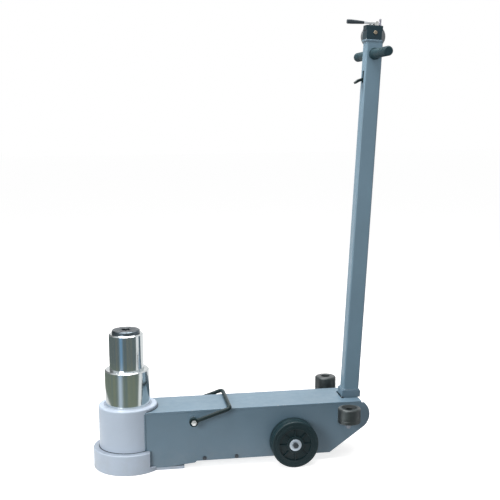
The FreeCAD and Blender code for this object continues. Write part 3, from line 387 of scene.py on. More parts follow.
def blackened(name, tone, gloss):
    """Oil-blacked steel: dark, glossy with oil, and paler where the oil has dried."""
    shader = Shader(name, Metallic=0.5, Coat_Weight=0.15, Coat_Roughness=0.2)
    dry = shader.patches(48.0, 0.48, 0.70, detail=5.0, roughness=0.65)
    rough = shader.wavering(120.0, gloss - 0.06, gloss + 0.12)
    return shader.done(shader.mix(dry, tone, shade(tone, 1.8, 1.8, 1.75)), rough,
                       shader.bump(shader.noise(900.0, 2.0), 0.000012))


def enamelled(name, tone):
    """Brushed black enamel, with small chips down to steel."""
    shader = Shader(name, Specular_IOR_Level=0.16)
    steel, chip_depth, brush_depth = (0.20, 0.19, 0.18), 0.00008, 0.00007
    chip = shader.patches(130.0, 0.705, 0.725, detail=5.0, roughness=0.75)
    cloud = shader.mix(shader.noise(18.0), shade(tone, 0.75), shade(tone, 1.35))
    skin = shader.bump(shader.noise(260.0, 2.0), brush_depth)
    return shader.done(shader.mix(chip, cloud, steel), shader.wavering(90.0, 0.26, 0.40),
                       shader.bump(chip, -chip_depth, skin))


def moulded(name, tone, gloss, grain, depth, scuff):
    """Moulded rubber or plastic: an even grain of a given depth, and paler scuffs."""
    shader = Shader(name, Specular_IOR_Level=0.24)
    scuff_lift = 0.035
    rub = shader.patches(26.0, 0.52, 0.72, 0.0, scuff, detail=5.0, roughness=0.7)
    base = shader.mix(shader.noise(9.0), shade(tone, 0.85), shade(tone, 1.2))
    base = shader.mix(rub, base, tuple(part + scuff_lift for part in shade(tone, 1.7)))
    rough = shader.wavering(60.0, gloss - 0.07, gloss + 0.1)
    return shader.done(base, rough, shader.bump(shader.noise(grain, 2.0), depth))


def cast_metal(name, tone):
    """Sand-cast aluminium with a matt, pitted skin."""
    shader = Shader(name, Metallic=0.75)
    pits = shader.noise(520.0, 4.0, roughness=0.7)
    base = shader.mix(shader.patches(28.0, 0.35, 0.7, detail=4.0), tone, shade(tone, 0.78))
    return shader.done(base, shader.between(pits, 0.3, 0.7, 0.38, 0.56), shader.bump(pits, 0.00012))


def bead_metal(name, tone):
    """A weld bead under paint: a little darker, with a little scale."""
    shader = Shader(name)
    scale = shader.patches(210.0, 0.55, 0.72, 0.0, 0.6, detail=4.0)
    base = shader.mix(scale, shade(tone, 0.92), shade(tone, 0.6))
    return shader.done(base, shader.wavering(150.0, 0.36, 0.52), shader.bump(shader.noise(480.0), 0.0001))


def make_finish(finish):
    """The material of a finish, which is named as in the record or for its one use here."""
    tones = bpy.context.scene.jack_colours
    makers = {
        "chassis_paint": partial(painted, tone=tones.chassis),
        # a lighter copy of the chassis paint, as painted light on the handle's tube
        "handle_paint": partial(painted, tone=tones.handle),
        "hook_paint": partial(painted, tone=shade(tones.casting, 0.5)),
        # the housing's paint carries painted shade along the foot's ledge below the housing
        "housing_paint": partial(painted, tone=tones.casting, peel=0.00022, gloss=0.42, dust=0.4,
                                 ledge=0.057),
        "valve_body": partial(painted, tone=tones.valve, peel=0.00012, gloss=0.34, dust=0.0, gleam=0.3),
        # edge finishes: paint rubbed to steel, and lighter as a painted highlight
        "chassis_edge": partial(worn_highlit_paint, tone=tones.chassis),
        "handle_edge": partial(worn_highlit_paint, tone=tones.handle),
        "casting_edge": partial(worn_highlit_paint, tone=tones.casting),
        "valve_edge": partial(worn_highlit_paint, tone=tones.valve, metal=(0.42, 0.40, 0.36)),
        "chassis_bead": partial(bead_metal, tone=tones.chassis),
        "black_steel": partial(enamelled, tone=tones.enamel),
        "ram_chrome": chromed,
        "saddle_steel": partial(turned_steel, tone=(0.098, 0.122, 0.14), node="saddle", axis="Z"),
        "shaft_steel": partial(turned_steel, tone=(0.40, 0.42, 0.44), node="handle_shaft", axis="Y"),
        "bright_steel": partial(plated, tone=(0.50, 0.53, 0.56), gloss=0.34),
        "nipple_steel": partial(plated, tone=(0.27, 0.28, 0.34), gloss=0.34),
        "washer_steel": partial(plated, tone=(0.36, 0.42, 0.49), gloss=0.42),
        "pump_steel": partial(plated, tone=(0.36, 0.38, 0.40), gloss=0.34),
        "brass": partial(plated, tone=(0.27, 0.235, 0.18), gloss=0.36),
        "dark_bolts": partial(blackened, tone=(0.026, 0.033, 0.042), gloss=0.34),
        "adapter_steel": partial(blackened, tone=(0.028, 0.036, 0.038), gloss=0.38),
        "valve_metal": partial(cast_metal, tone=(0.15, 0.165, 0.172)),
        "wheel_rubber": partial(moulded, tone=tones.rubber, gloss=0.42, grain=420, depth=0.00008, scuff=0.3),
        "wheel_hub": partial(moulded, tone=shade(tones.rubber, 0.9), gloss=0.34, grain=700, depth=0.00003,
                             scuff=0.15),
        "grip_rubber": partial(moulded, tone=tones.grip, gloss=0.58, grain=1100, depth=0.00006, scuff=0.35),
        "lever_plastic": partial(moulded, tone=(0.022, 0.032, 0.040), gloss=0.36, grain=1200, depth=0.00002,
                                 scuff=0.2),
        "wiper": partial(moulded, tone=shade(tones.casting, 0.75), gloss=0.4, grain=1500, depth=0.00002,
                         scuff=0.1),
        "seal_rubber": partial(moulded, tone=(0.012, 0.012, 0.013), gloss=0.45, grain=1500, depth=0.00002,
                               scuff=0.1),
        # a dark finish for the beads of painted shade round the housing
        "shade_bead": partial(moulded, tone=(0.045, 0.060, 0.075), gloss=0.55, grain=600, depth=0.00004,
                          scuff=0.2),
        # painted shade: a near-black finish for the recess of an extension
        "socket_shade": partial(moulded, tone=(0.008, 0.012, 0.013), gloss=0.75, grain=500, depth=0.00004,
                                scuff=0.1),
    }
    return makers[finish](finish)


FINISHES = {}


def finish_of(finish):
    """The finish's one material, made the first time that it is asked for."""
    if finish not in FINISHES:
        FINISHES[finish] = make_finish(finish)
    return FINISHES[finish]


def smooth_faces():
    """The one-node tree that shades every face smooth, so that the weighted normals can take over."""
    name = "smooth_faces"
    if name in bpy.data.node_groups:
        return bpy.data.node_groups[name]
    graph = Graph(name)
    graph.close(graph.add("GeometryNodeSetShadeSmooth", {"Geometry": graph.source, "Shade Smooth": True}))
    return graph.group


def dress(nodes, edge=None, slot=None):
    """Gives construction nodes their finish and, where edge is set, a small rounding on sharp edges."""
    for node in nodes:
        obj = frame["nodes"][node]
        own = slot or NODE_SLOTS[node]
        obj.data.materials.clear()
        obj.data.materials.append(finish_of(own))
        obj.modifiers.new("Join", "WELD").merge_threshold = NODE_JOIN
        if edge is None:
            continue
        flat = obj.modifiers.new("Flats", "DECIMATE")
        flat.decimate_type = "DISSOLVE"
        flat.angle_limit = FLAT
        bevel = obj.modifiers.new("Edges", "BEVEL")
        bevel.width = edge
        bevel.segments = 2
        bevel.limit_method = "ANGLE"
        bevel.angle_limit = ROUNDED
        # the bevel's faces take the edge finish: wear and a painted highlight
        if own in EDGES:
            obj.data.materials.append(finish_of(EDGES[own]))
            bevel.material = 1
        obj.modifiers.new("Smooth", "NODES").node_group = smooth_faces()
        obj.modifiers.new("Normals", "WEIGHTED_NORMAL")


# ---- mesh helpers ---------------------------------------------------------------------------------
def settle(piece, slot, body, *nodes):
    """Rides a finished piece on its body and hides the construction nodes it stands for; its slot is not used."""
    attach(piece, body)
    if nodes:
        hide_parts(*nodes)


def linked(name, content):
    """A new object of the scene."""
    obj = bpy.data.objects.new(name, content)
    bpy.context.scene.collection.objects.link(obj)
    return obj


def mesh_of(name, work):
    """The mesh of a bmesh, which is then freed."""
    mesh = bpy.data.meshes.new(name)
    work.to_mesh(mesh)
    work.free()
    return mesh


def from_bmesh(name, work, material, place=Matrix.Identity(4)):
    """A closed mesh with its faces turned outwards, put in place, as a piece at the origin."""
    bmesh.ops.remove_doubles(work, verts=work.verts, dist=PIECE_JOIN)
    bmesh.ops.recalc_face_normals(work, faces=work.faces)
    bmesh.ops.transform(work, matrix=place, verts=work.verts)
    mesh = mesh_of(name, work)
    mesh.materials.append(material)
    mesh.polygons.foreach_set("use_smooth", [True] * len(mesh.polygons))
    mesh.set_sharp_from_angle(angle=SHARP)
    return linked(name, mesh)


def rounded_outline(corners, steps=5):
    """Outline points where each (across, up, radius) corner is replaced by an arc of that radius."""
    points = []
    for index, (across, up, radius) in enumerate(corners):
        corner = Vector((across, up))
        if radius == 0:
            points.append(corner)
            continue
        before = (Vector(corners[index - 1][:2]) - corner).normalized()
        after = (Vector(corners[(index + 1) % len(corners)][:2]) - corner).normalized()
        half = before.angle(after) / 2
        reach = radius / math.tan(half)
        centre = corner + (before + after).normalized() * (radius / math.sin(half))
        first = corner + before * reach - centre
        last = corner + after * reach - centre
        sweep = first.angle_signed(last)
        for step in range(steps + 1):
            points.append(centre + Matrix.Rotation(-sweep * step / steps, 2) @ first)
    return points


def rounded_rectangle(half_x, half_y, radius, steps=8):
    """Points round a rectangle with rounded corners."""
    corners = [(half_x, half_y, radius), (-half_x, half_y, radius), (-half_x, -half_y, radius),
               (half_x, -half_y, radius)]
    return rounded_outline(corners, steps)


def both_faces(half, wide):
    """A section's (radius, height, rounding) corners with their mirror image at its other face."""
    return half + [(radius, wide - high, rounding) for radius, high, rounding in reversed(half)]


def ring_turn(work, outline, steps):
    """Revolves an outline of (radius, height) points about Z; points on the axis become poles."""
    pole = 0.0000001
    rings = []
    for radius, height in outline:
        if radius < pole:
            rings.append([work.verts.new((0, 0, height))])
            continue
        rings.append([work.verts.new((radius * math.cos(TURN * n / steps),
                                      radius * math.sin(TURN * n / steps), height)) for n in range(steps)])
    for near, far in zip(rings, rings[1:] + rings[:1]):
        for n in range(steps):
            loop = [near[n % len(near)], near[(n + 1) % len(near)], far[(n + 1) % len(far)],
                    far[n % len(far)]]
            corners = list(dict.fromkeys(loop))
            if len(corners) > 2:
                work.faces.new(corners)


def axis_place(at, axis):
    """The matrix that stands +Z along an axis, with the origin at a point."""
    turn = Vector((0, 0, 1)).rotation_difference(Vector(axis)).to_matrix().to_4x4()
    return Matrix.Translation(at) @ turn


def turned_piece(name, corners, soft, material, place, steps):
    """A piece turned from the (radius, height, rounding) corners of its section."""
    work = bmesh.new()
    ring_turn(work, rounded_outline(corners, soft), steps)
    return from_bmesh(name, work, material, place)


def hex_screw(work, flats, head, shank, reach, collars=()):
    """A hexagon-headed screw along +Z with its head's underside at 0, and (radius, start, end) collars."""
    around, round_steps = 72, 48
    inner = flats / 2
    # the head's top is turned round inside its flats, and slopes down from there to its corners
    bearing, crown_share, slope = inner * 0.94, 0.97, math.tan(math.radians(30))
    sunk, chamfer = 0.00002, 0.0006
    low, high, crown = [], [], []
    for step in range(around):
        angle = TURN * step / around
        from_flat = (angle + math.pi / 6) % (math.pi / 3) - math.pi / 6
        # the corners lie on the X axis, so the flats are 30 degrees off it
        radius = inner / math.cos(from_flat - math.copysign(math.pi / 6, from_flat))
        drop = max(0.0, radius - bearing) * slope
        spot = Vector((math.cos(angle), math.sin(angle), 0))
        low.append(work.verts.new(spot * radius))
        high.append(work.verts.new(spot * radius + Vector((0, 0, head - drop))))
        crown.append(work.verts.new(spot * bearing * crown_share + Vector((0, 0, head))))
    skin(work, (low, high, crown))
    for radius, start, end in ((shank, -reach, sunk), *collars):
        edge = min(chamfer, (end - start) / 3)
        ring_turn(work, [(0, start), (radius - edge, start), (radius, start + edge), (radius, end - edge),
                         (radius - edge, end), (0, end)], round_steps)


def skin(work, loops):
    """Faces from each closed loop of corners to the next, and a cap on the first and the last."""
    for near, far in zip(loops, loops[1:]):
        for n in range(len(near)):
            after = (n + 1) % len(near)
            work.faces.new((near[n], near[after], far[after], far[n]))
    work.faces.new(loops[0][::-1])
    work.faces.new(loops[-1])


def soft_square(x, half_wide, half_high, level, power=3.2, steps=40):
    """A rounded rectangle across the X axis, as a superellipse."""
    ring = []
    for step in range(steps):
        angle = TURN * step / steps
        across = math.copysign(abs(math.cos(angle)) ** (2 / power), math.cos(angle)) * half_wide
        up = math.copysign(abs(math.sin(angle)) ** (2 / power), math.sin(angle)) * half_high
        ring.append((x, across, level + up))
    return ring


def template(name, work):
    """An object that geometry nodes repeat, taken out once it is used."""
    bmesh.ops.recalc_face_normals(work, faces=work.faces)
    return linked(name, mesh_of(name, work))


def polyline(name, lines):
    """A mesh of open or closed lines: each is (points, whether it closes)."""
    points, edges = [], []
    for line, closes in lines:
        first = len(points)
        points += [tuple(point) for point in line]
        edges += [(n, n + 1) for n in range(first, len(points) - 1)]
        if closes:
            edges.append((len(points) - 1, first))
    mesh = bpy.data.meshes.new(name)
    mesh.from_pydata(points, edges, [])
    return mesh


# ---- geometry node trees --------------------------------------------------------------------------
def grown(name, base, graph, material, place=Matrix.Identity(4), unit=None, **sizes):
    """The plain mesh that a tree makes from a base mesh, put in place, as a piece."""
    seed = linked(name + "_seed", base)
    modifier = seed.modifiers.new("Shape", "NODES")
    modifier.node_group = graph.group
    for item in graph.group.interface.items_tree:
        if item.in_out == "INPUT" and item.name in sizes:
            modifier[item.identifier] = sizes[item.name]
    bpy.context.view_layer.update()
    mesh = bpy.data.meshes.new_from_object(seed.evaluated_get(bpy.context.evaluated_depsgraph_get()))
    seed.modifiers.remove(modifier)
    for spent in (seed, unit):
        if spent is not None:
            bpy.data.objects.remove(spent)
    work = bmesh.new()
    work.from_mesh(mesh)
    return from_bmesh(name, work, material, place)


def repeat_graph(name, material, unit):
    """A unit repeated on the base mesh's points, turned to stand out from the middle plane."""
    graph = Graph(name, Turn=math.pi / 2)
    side = graph.calc("SIGN", graph.part(graph.add("GeometryNodeInputPosition", {}), "Y"))
    lean = graph.product(graph.product(side, -1.0), graph.given["Turn"])
    graph.finish(graph.units(graph.source, unit, X=lean), material)
    return graph


def circle_graph(name, material, unit):
    """The base mesh with a unit repeated round the Z axis at a radius and a height."""
    graph = Graph(name, Count=8, Radius=0.03, Height=0.0)
    count, radius, height = (graph.given[label] for label in ("Count", "Radius", "Height"))
    ring = graph.add("GeometryNodeMeshCircle", {"Vertices": count, "Radius": radius})
    raised = graph.add("GeometryNodeTransform", {"Geometry": ring, "Translation": graph.vector(Z=height)})
    angle = graph.product(graph.add("GeometryNodeInputIndex", {}), graph.calc("DIVIDE", TURN, count))
    graph.finish(graph.join(graph.source, graph.units(raised, unit, Z=angle)), material)
    return graph


def sleeve_graph(name, material):
    """A grip swept along the base line: a flange at its start, and ribs along its outer length."""
    graph = Graph(name, Radius=0.0128, Flange=0.016, Flange_length=0.004, Blend=0.0016, Pitch=0.007,
                  Depth=0.0016, Ribbed=0.056, Rounding=0.0024, Squareness=0.4, Step=0.06, Sides=56)
    given = graph.given
    radius, pitch, rounding = given["Radius"], given["Pitch"], given["Rounding"]
    fine = graph.line(graph.product(pitch, given["Step"]))
    along = graph.along()
    left = graph.less(graph.add("GeometryNodeSplineLength", {}), along)
    wave = graph.calc("SINE", graph.product(graph.calc("DIVIDE", left, pitch), TURN))
    dip = graph.product(graph.calc("GREATER_THAN", wave, 0.0),
                        graph.calc("POWER", graph.calc("ABSOLUTE", wave), given["Squareness"]))
    ribbed = graph.calc("LESS_THAN", left, given["Ribbed"])
    groove = graph.product(graph.product(dip, ribbed), given["Depth"])
    tip = graph.calc("MAXIMUM", graph.less(rounding, left), 0.0)
    rounded = graph.product(graph.calc("POWER", graph.calc("DIVIDE", tip, rounding), 2.0), rounding)
    body = graph.less(graph.less(radius, groove), rounded)
    over = graph.less(along, given["Flange_length"])
    fade = graph.between(over, 0.0, given["Blend"], 1.0, 0.0, interpolation_type="SMOOTHSTEP")
    lip = graph.product(graph.less(given["Flange"], radius), fade)
    graph.finish(graph.sweep(fine, graph.calc("ADD", body, lip), given["Sides"]), material)
    return graph


def bead_graph(name, material):
    """A rippled bead along the base mesh's lines."""
    graph = Graph(name, Radius=0.003, Pitch=0.0034, Step=0.2, Least=0.72, Ripple=0.16, Wander=0.30, Grain=0.7,
                  Sides=12)
    given = graph.given
    fine = graph.line(graph.product(given["Pitch"], given["Step"]))
    turns = graph.calc("DIVIDE", graph.along(), given["Pitch"])
    wave = graph.calc("ABSOLUTE", graph.calc("SINE", graph.product(turns, math.pi)))
    swell = graph.calc("ADD", graph.product(wave, given["Ripple"]),
                       graph.product(graph.wander(turns, given["Grain"]), given["Wander"]))
    width = graph.product(given["Radius"], graph.calc("ADD", swell, given["Least"]))
    graph.finish(graph.sweep(fine, width, given["Sides"]), material)
    return graph


# ---- operators ------------------------------------------------------------------------------------
class JackOperator:
    bl_options = {"REGISTER", "UNDO"}

    def execute(self, context):
        self.make(context.scene.jack_sizes)
        return {"FINISHED"}


class JACK_OT_stage(bpy.types.Operator):
    """Sets up the camera, the pale floor, the lights and the card that only reflections see"""
    bl_idname = "jack.stage"
    bl_label = "Camera, floor and lights"

    def execute(self, context):
        stage = context.scene.jack_stage
        self.add_camera(context.scene, stage)
        self.add_floor(stage)
        self.add_room(context.scene, stage.sky)
        self.add_lamps(stage)
        self.add_reflector()
        context.scene.view_settings.view_transform = "Standard"
        return {"FINISHED"}

    def add_camera(self, scene, stage):
        yaw, pitch, roll = stage.camera_turn
        ahead = Vector((math.sin(yaw) * math.cos(pitch), math.cos(yaw) * math.cos(pitch), math.sin(pitch)))
        level = ahead.cross(Vector((0, 0, 1))).normalized()
        upright = level.cross(ahead)
        right = math.cos(roll) * level + math.sin(roll) * upright
        up = -math.sin(roll) * level + math.cos(roll) * upright
        camera = linked("camera", bpy.data.cameras.new("camera"))
        camera.data.lens = stage.lens
        camera.data.sensor_width = 36
        turn = Matrix((right, up, -ahead)).transposed().to_4x4()
        camera.matrix_world = Matrix.Translation(stage.camera_place) @ turn
        scene.camera = camera

    def add_floor(self, stage):
        half, below = 20, 0.0002
        shader = Shader("studio_floor", Specular_IOR_Level=0.0, Emission_Strength=stage.glow,
                        Emission_Color=(1, 1, 1, 1))
        base = shader.mix(shader.noise(1.5, 2.0), shade(stage.floor, 0.99), shade(stage.floor, 1.01))
        shader.done(base, shader.wavering(3.0, 0.6, 0.7))
        floor = self.card("floor", shader.material,
                          [(-half, -half, 0), (half, -half, 0), (half, half, 0), (-half, half, 0)],
                          [(0, 1, 2, 3)])
        floor.location.z = -below
        floor.visible_diffuse = False

    def card(self, name, material, points, faces):
        """A thin sheet of the stage."""
        mesh = bpy.data.meshes.new(name)
        mesh.from_pydata(points, [], faces)
        mesh.materials.append(material)
        card = linked(name, mesh)
        return card

    def add_room(self, scene, sky):
        """A white room: matt surfaces get most light from the front, and in gloss one wall is grey."""
        front_light, back_light, wall_tone = 1.42, 0.58, 0.3
        world = bpy.data.worlds.new("room")
        world.use_nodes = True
        room = Tree(world.node_tree)
        background = room.nodes["Background"].inputs
        background["Color"].default_value = (1, 1, 1, 1)
        heading = room.add("ShaderNodeTexCoord", {}, output="Generated")
        even = room.between(room.part(heading, "X"), -1.0, 1.0, sky * front_light, sky * back_light)
        behind = room.between(room.part(heading, "Y"), 0.1, 0.4, 1.0, wall_tone)
        wall = room.between(room.part(heading, "X"), -0.20, -0.05, behind, 1.0)
        glossy = room.add("ShaderNodeLightPath", {}, output="Is Glossy Ray")
        diffuse = room.add("ShaderNodeLightPath", {}, output="Is Diffuse Ray")
        shine = room.between(glossy, 0.0, 1.0, 1.0, wall)
        room.feed(background["Strength"], room.between(diffuse, 0.0, 1.0, shine, even))
        scene.world = world

    def add_lamps(self, stage):
        """A key light at the front left and a large light overhead, both turned to the chassis."""
        aim = Vector((0.2, 0, 0.1))
        # name, place, width, power and colour
        for name, at, size, power, tone in (
                ("key", (-1.0, -1.4, 0.85), 0.7, stage.key_power, (1.0, 0.99, 0.98)),
                ("top", (0.1, 0.15, 2.3), 1.8, stage.top_power, (1.0, 0.965, 0.95))):
            lamp = bpy.data.lights.new(name, "AREA")
            lamp.shape = "SQUARE"
            lamp.size = size
            lamp.energy = power
            lamp.color = tone
            turn = (aim - Vector(at)).to_track_quat("-Z", "Y").to_matrix().to_4x4()
            linked(name, lamp).matrix_world = Matrix.Translation(at) @ turn

    def add_reflector(self):
        """A ring on the floor round the ram, seen only in gloss, whose tones give the chrome its bands."""
        shader = Shader("reflector", Emission_Strength=1.0, Specular_IOR_Level=0.0, Base_Color=(0, 0, 0, 1))
        # degrees round the ram, from the front towards +X, and metres from it
        round_ram = shader.product(shader.calc("ARCTAN2", shader.height("X"),
                                               shader.product(shader.height("Y"), -1.0)), 180 / math.pi)
        reach = shader.distance(shader.place)

        def past(edge, start, end, low=0.0, high=1.0):
            """low before an edge that stands at a number of degrees, and high past it."""
            return shader.between(shader.less(round_ram, edge), start, end, low, high)

        streak_grain, gleam_at, gleam_half, gleam_edge, card_white = 0.05, -36.0, 3.0, 17.0, (1.1, 1.1, 1.1)
        # the ram's foot reflects what lies near it, and its top what lies farther off
        far = shader.between(reach, 0.95, 1.15, 0.0, 1.0)
        streak = shader.between(shader.wander(shader.product(round_ram, streak_grain), 1.0, 3.0),
                                0.35, 0.65, 0.0, 1.0)
        near_tone = shader.mix(streak, (0.185, 0.235, 0.215), (0.255, 0.285, 0.205))
        far_tone = shader.mix(streak, (0.135, 0.180, 0.195), (0.185, 0.205, 0.185))
        dark = shader.mix(far, near_tone, far_tone)
        gleam = shader.mix(far, (0.60, 0.70, 0.80), (0.21, 0.385, 0.57))
        off = shader.calc("ABSOLUTE", shader.less(round_ram, gleam_at))
        tone = shader.mix(shader.between(off, gleam_half, gleam_edge, 1.0, 0.0), dark, gleam)
        right_end = shader.between(reach, 0.6, 1.2, 50.0, 67.0)
        tone = shader.mix(past(right_end, -2.0, 3.0), tone, card_white)
        left_end = shader.between(reach, 0.6, 0.85, -92.0, -186.0)
        tone = shader.mix(past(left_end, -3.0, 3.0, 1.0, 0.0), tone, (1.0, 1.0, 1.0))
        navy = shader.product(past(shader.between(far, 0.0, 1.0, 84.0, 90.0), -2.0, 3.0),
                              past(shader.between(reach, 0.6, 1.1, 178.0, 108.0), -3.0, 2.0, 1.0, 0.0))
        shader.feed(shader.surface.inputs["Emission Color"], shader.mix(navy, tone, (0.10, 0.145, 0.18)))
        card = self.ring("reflector", shader.material)
        card.visible_camera = card.visible_diffuse = card.visible_shadow = False
        card.visible_transmission = card.visible_volume_scatter = False

    def ring(self, name, material, near=0.5, far=2.6, high=0.0008, steps=48):
        """A flat ring round the ram."""
        angles = [TURN * step / steps for step in range(steps)]
        points = [(radius * math.sin(angle), -radius * math.cos(angle), high) for angle in angles
                  for radius in (near, far)]
        count = len(points)
        faces = [(step, step + 1, (step + 3) % count, (step + 2) % count) for step in range(0, count, 2)]
        return self.card(name, material, points, faces)


class JACK_OT_chassis(JackOperator, bpy.types.Operator):
    """Paints the chassis plates and rounds their edges"""
    bl_idname = "jack.chassis"
    bl_label = "Chassis plates"

    def make(self, sizes):
        dress(["top_plate", "left_side_plate", "right_side_plate", "bottom_tray"], sizes.edge_round)
        dress(["oil_tank", "pump_shelf"])


class JACK_OT_ram(JackOperator, bpy.types.Operator):
    """Paints the foot and housing, chromes the two stages and machines the saddle"""
    bl_idname = "jack.ram"
    bl_label = "Foot, housing and rams"

    def make(self, sizes):
        dress(["foot_ring", "ram_cylinder"], sizes.edge_round)
        dress(["outer_ram", "inner_ram", "saddle"], sizes.edge_round / 3)
        dress(["gland_ring", "outer_ram_seal", "inner_ram_seal"])
        dress(["gland_wiper"], slot="wiper")


class JACK_OT_welds(JackOperator, bpy.types.Operator):
    """Runs the weld beads of the chassis and the handle, and dark beads of painted shade round the ram housing"""
    bl_idname = "jack.welds"
    bl_label = "Weld beads and sealer"

    def make(self, sizes):
        # each seam's place back from the ram and out from the middle, and its lower and upper end
        housing_seam, foot_seam = (0.0430, 0.0674, 0.0590, 0.1600), (0.0552, 0.0690, 0.0230, 0.0560)
        hook_out, hook_high, hook_radius = 0.0685, 0.114, 0.0158
        lines = []
        for out in SIDES.values():
            lines += [(self.rise(out, *seam), False) for seam in (housing_seam, foot_seam)]
            lines.append((self.hoop((STORE_BACK, out * hook_out, hook_high), hook_radius), True))
        radius, pitch = sizes.bead_radius, sizes.bead_pitch
        self.bead("chassis_welds", lines, "chassis", radius, pitch)
        # dark beads as painted shade: round the joint of the housing and the foot, and under the housing's rim on
        # the deck
        self.shade_bead("foot_sealer", radius=0.0812, high=0.0574, sweep=360, bead=0.0012)
        self.shade_bead("deck_sealer", radius=0.0818, high=0.1652, sweep=108, bead=0.0019)
        half_x, half_y, corner, inset = 0.0228, 0.0203, 0.004, 0.0004
        socket_high, head_high = 0.0576, 1.0300
        socket = [(x, y, socket_high) for x, y in rounded_rectangle(half_x, half_y, corner)]
        self.bead("socket_weld", [(socket, True)], "handle", radius * 0.9, pitch, HANDLE)
        head = [(x, y, head_high) for x, y in rounded_rectangle(half_x - inset, half_y - inset, corner)]
        self.bead("head_weld", [(head, True)], "handle", radius * 0.45, pitch * 0.6, HANDLE)

    def bead(self, name, lines, body, radius, pitch, place=Matrix.Identity(4), finish="chassis_bead",
             slot="chassis_paint"):
        graph = bead_graph(name + "_bead", finish_of(finish))
        piece = grown(name, polyline(name + "_line", lines), graph, finish_of(finish), place, Radius=radius,
                      Pitch=pitch)
        settle(piece, slot, body)

    def shade_bead(self, name, radius, high, sweep, bead, smear=0.011, steps=120):
        """A dark bead round the ram housing, as painted shade in its joint, centred on its back, over so many
        degrees.
        """
        closed = sweep == 360
        angles = (math.radians(sweep * (n / steps - 0.5)) for n in range(steps if closed else steps + 1))
        line = [(radius * math.cos(angle), radius * math.sin(angle), high) for angle in angles]
        self.bead(name, [(line, closed)], "chassis", bead, smear, finish="shade_bead", slot="housing_paint")

    def rise(self, side, back, out, low, high, steps=24):
        """An upright line."""
        foot, top = (Vector((back, side * out, level)) for level in (low, high))
        return [foot.lerp(top, n / steps) for n in range(steps + 1)]

    def hoop(self, centre, radius, steps=48):
        """A circle across the Y axis."""
        return [Vector(centre) + Vector((radius * math.cos(TURN * n / steps), 0,
                                         radius * math.sin(TURN * n / steps))) for n in range(steps)]


class JACK_OT_screws(JackOperator, bpy.types.Operator):
    """Makes the chamfered hexagon bolts of the tray, the axle and the bail"""
    bl_idname = "jack.screws"
    bl_label = "Bolts and screws"

    def make(self, sizes):
        self.pairs("tray_screws", [(0.2034, 0.0268), (0.2923, 0.0268)], out=0.068, flats=0.010, head=0.0035,
                   shank=0.003, reach=0.012)
        self.pairs("axle_bolts", [AXLE], out=0.1184, flats=0.014, head=0.0055, shank=0.004, reach=0.0265)
        self.pairs("bail_bolts", [BAIL], out=0.0943, flats=0.013, head=0.0055, shank=0.005, reach=0.0323,
                   collars=((0.009, -0.0263, -0.0126),))
        self.washers()

    def washers(self):
        """Washers under the axle's bolts, and the plain spacers inboard of the wheels."""
        wheel_face, wheel_back, plate = 0.1159, 0.0710, 0.0680
        bore, rim, flat_rim = 0.0042, 0.0165, 0.0118
        spacer_bore, spacer_rim = 0.0101, 0.0160
        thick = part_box("axle_washers")[1].y - wheel_face
        near, far = plate - wheel_face, wheel_back - wheel_face
        work = bmesh.new()
        ring_turn(work, rounded_outline([
            (bore, 0, 0.0002), (rim, 0, 0.0003), (rim, thick * 0.55, 0.0006), (flat_rim, thick, 0.0010),
            (bore, thick, 0.0002)], 4), 96)
        ring_turn(work, rounded_outline([
            (spacer_bore, near, 0.0002), (spacer_rim, near, 0.0003), (spacer_rim, far, 0.0003),
            (spacer_bore, far, 0.0002)], 3), 64)
        self.repeat("axle_washers", work, [AXLE], wheel_face, "washer_steel")

    def pairs(self, node, places, out, **screw):
        work = bmesh.new()
        hex_screw(work, **screw)
        self.repeat(node, work, places, out, NODE_SLOTS[node])

    def repeat(self, node, work, places, out, finish):
        """The unit repeated at each (x, z) place on both sides of the chassis."""
        unit = template(node + "_unit", work)
        seed = bpy.data.meshes.new(node + "_places")
        seed.from_pydata([(x, side * out, z) for x, z in places for side in SIDES.values()], [], [])
        material = finish_of(finish)
        piece = grown(node + "_set", seed, repeat_graph(node + "_repeat", material, unit), material,
                      unit=unit)
        settle(piece, NODE_SLOTS[node], "chassis", node)


class JACK_OT_fittings(JackOperator, bpy.types.Operator):
    """Finishes the pump, tank, pipe and other steel inside and round the chassis"""
    bl_idname = "jack.fittings"
    bl_label = "Pump, tank and shafts"

    def make(self, sizes):
        fine = sizes.edge_round / 3
        dress(["wheel_axle", "lock_sector", "pump_block", "air_cylinder_cap"], fine)
        dress(["sector_stay"], fine, "chassis_paint")
        dress(["left_adapter_hook", "right_adapter_hook"], fine, "hook_paint")
        dress(["handle_shaft"], slot="shaft_steel")
        dress(["tank_plug", "air_cylinder", "pressure_pipe", "pipe_fittings", "motor_bolts", "air_piston"])


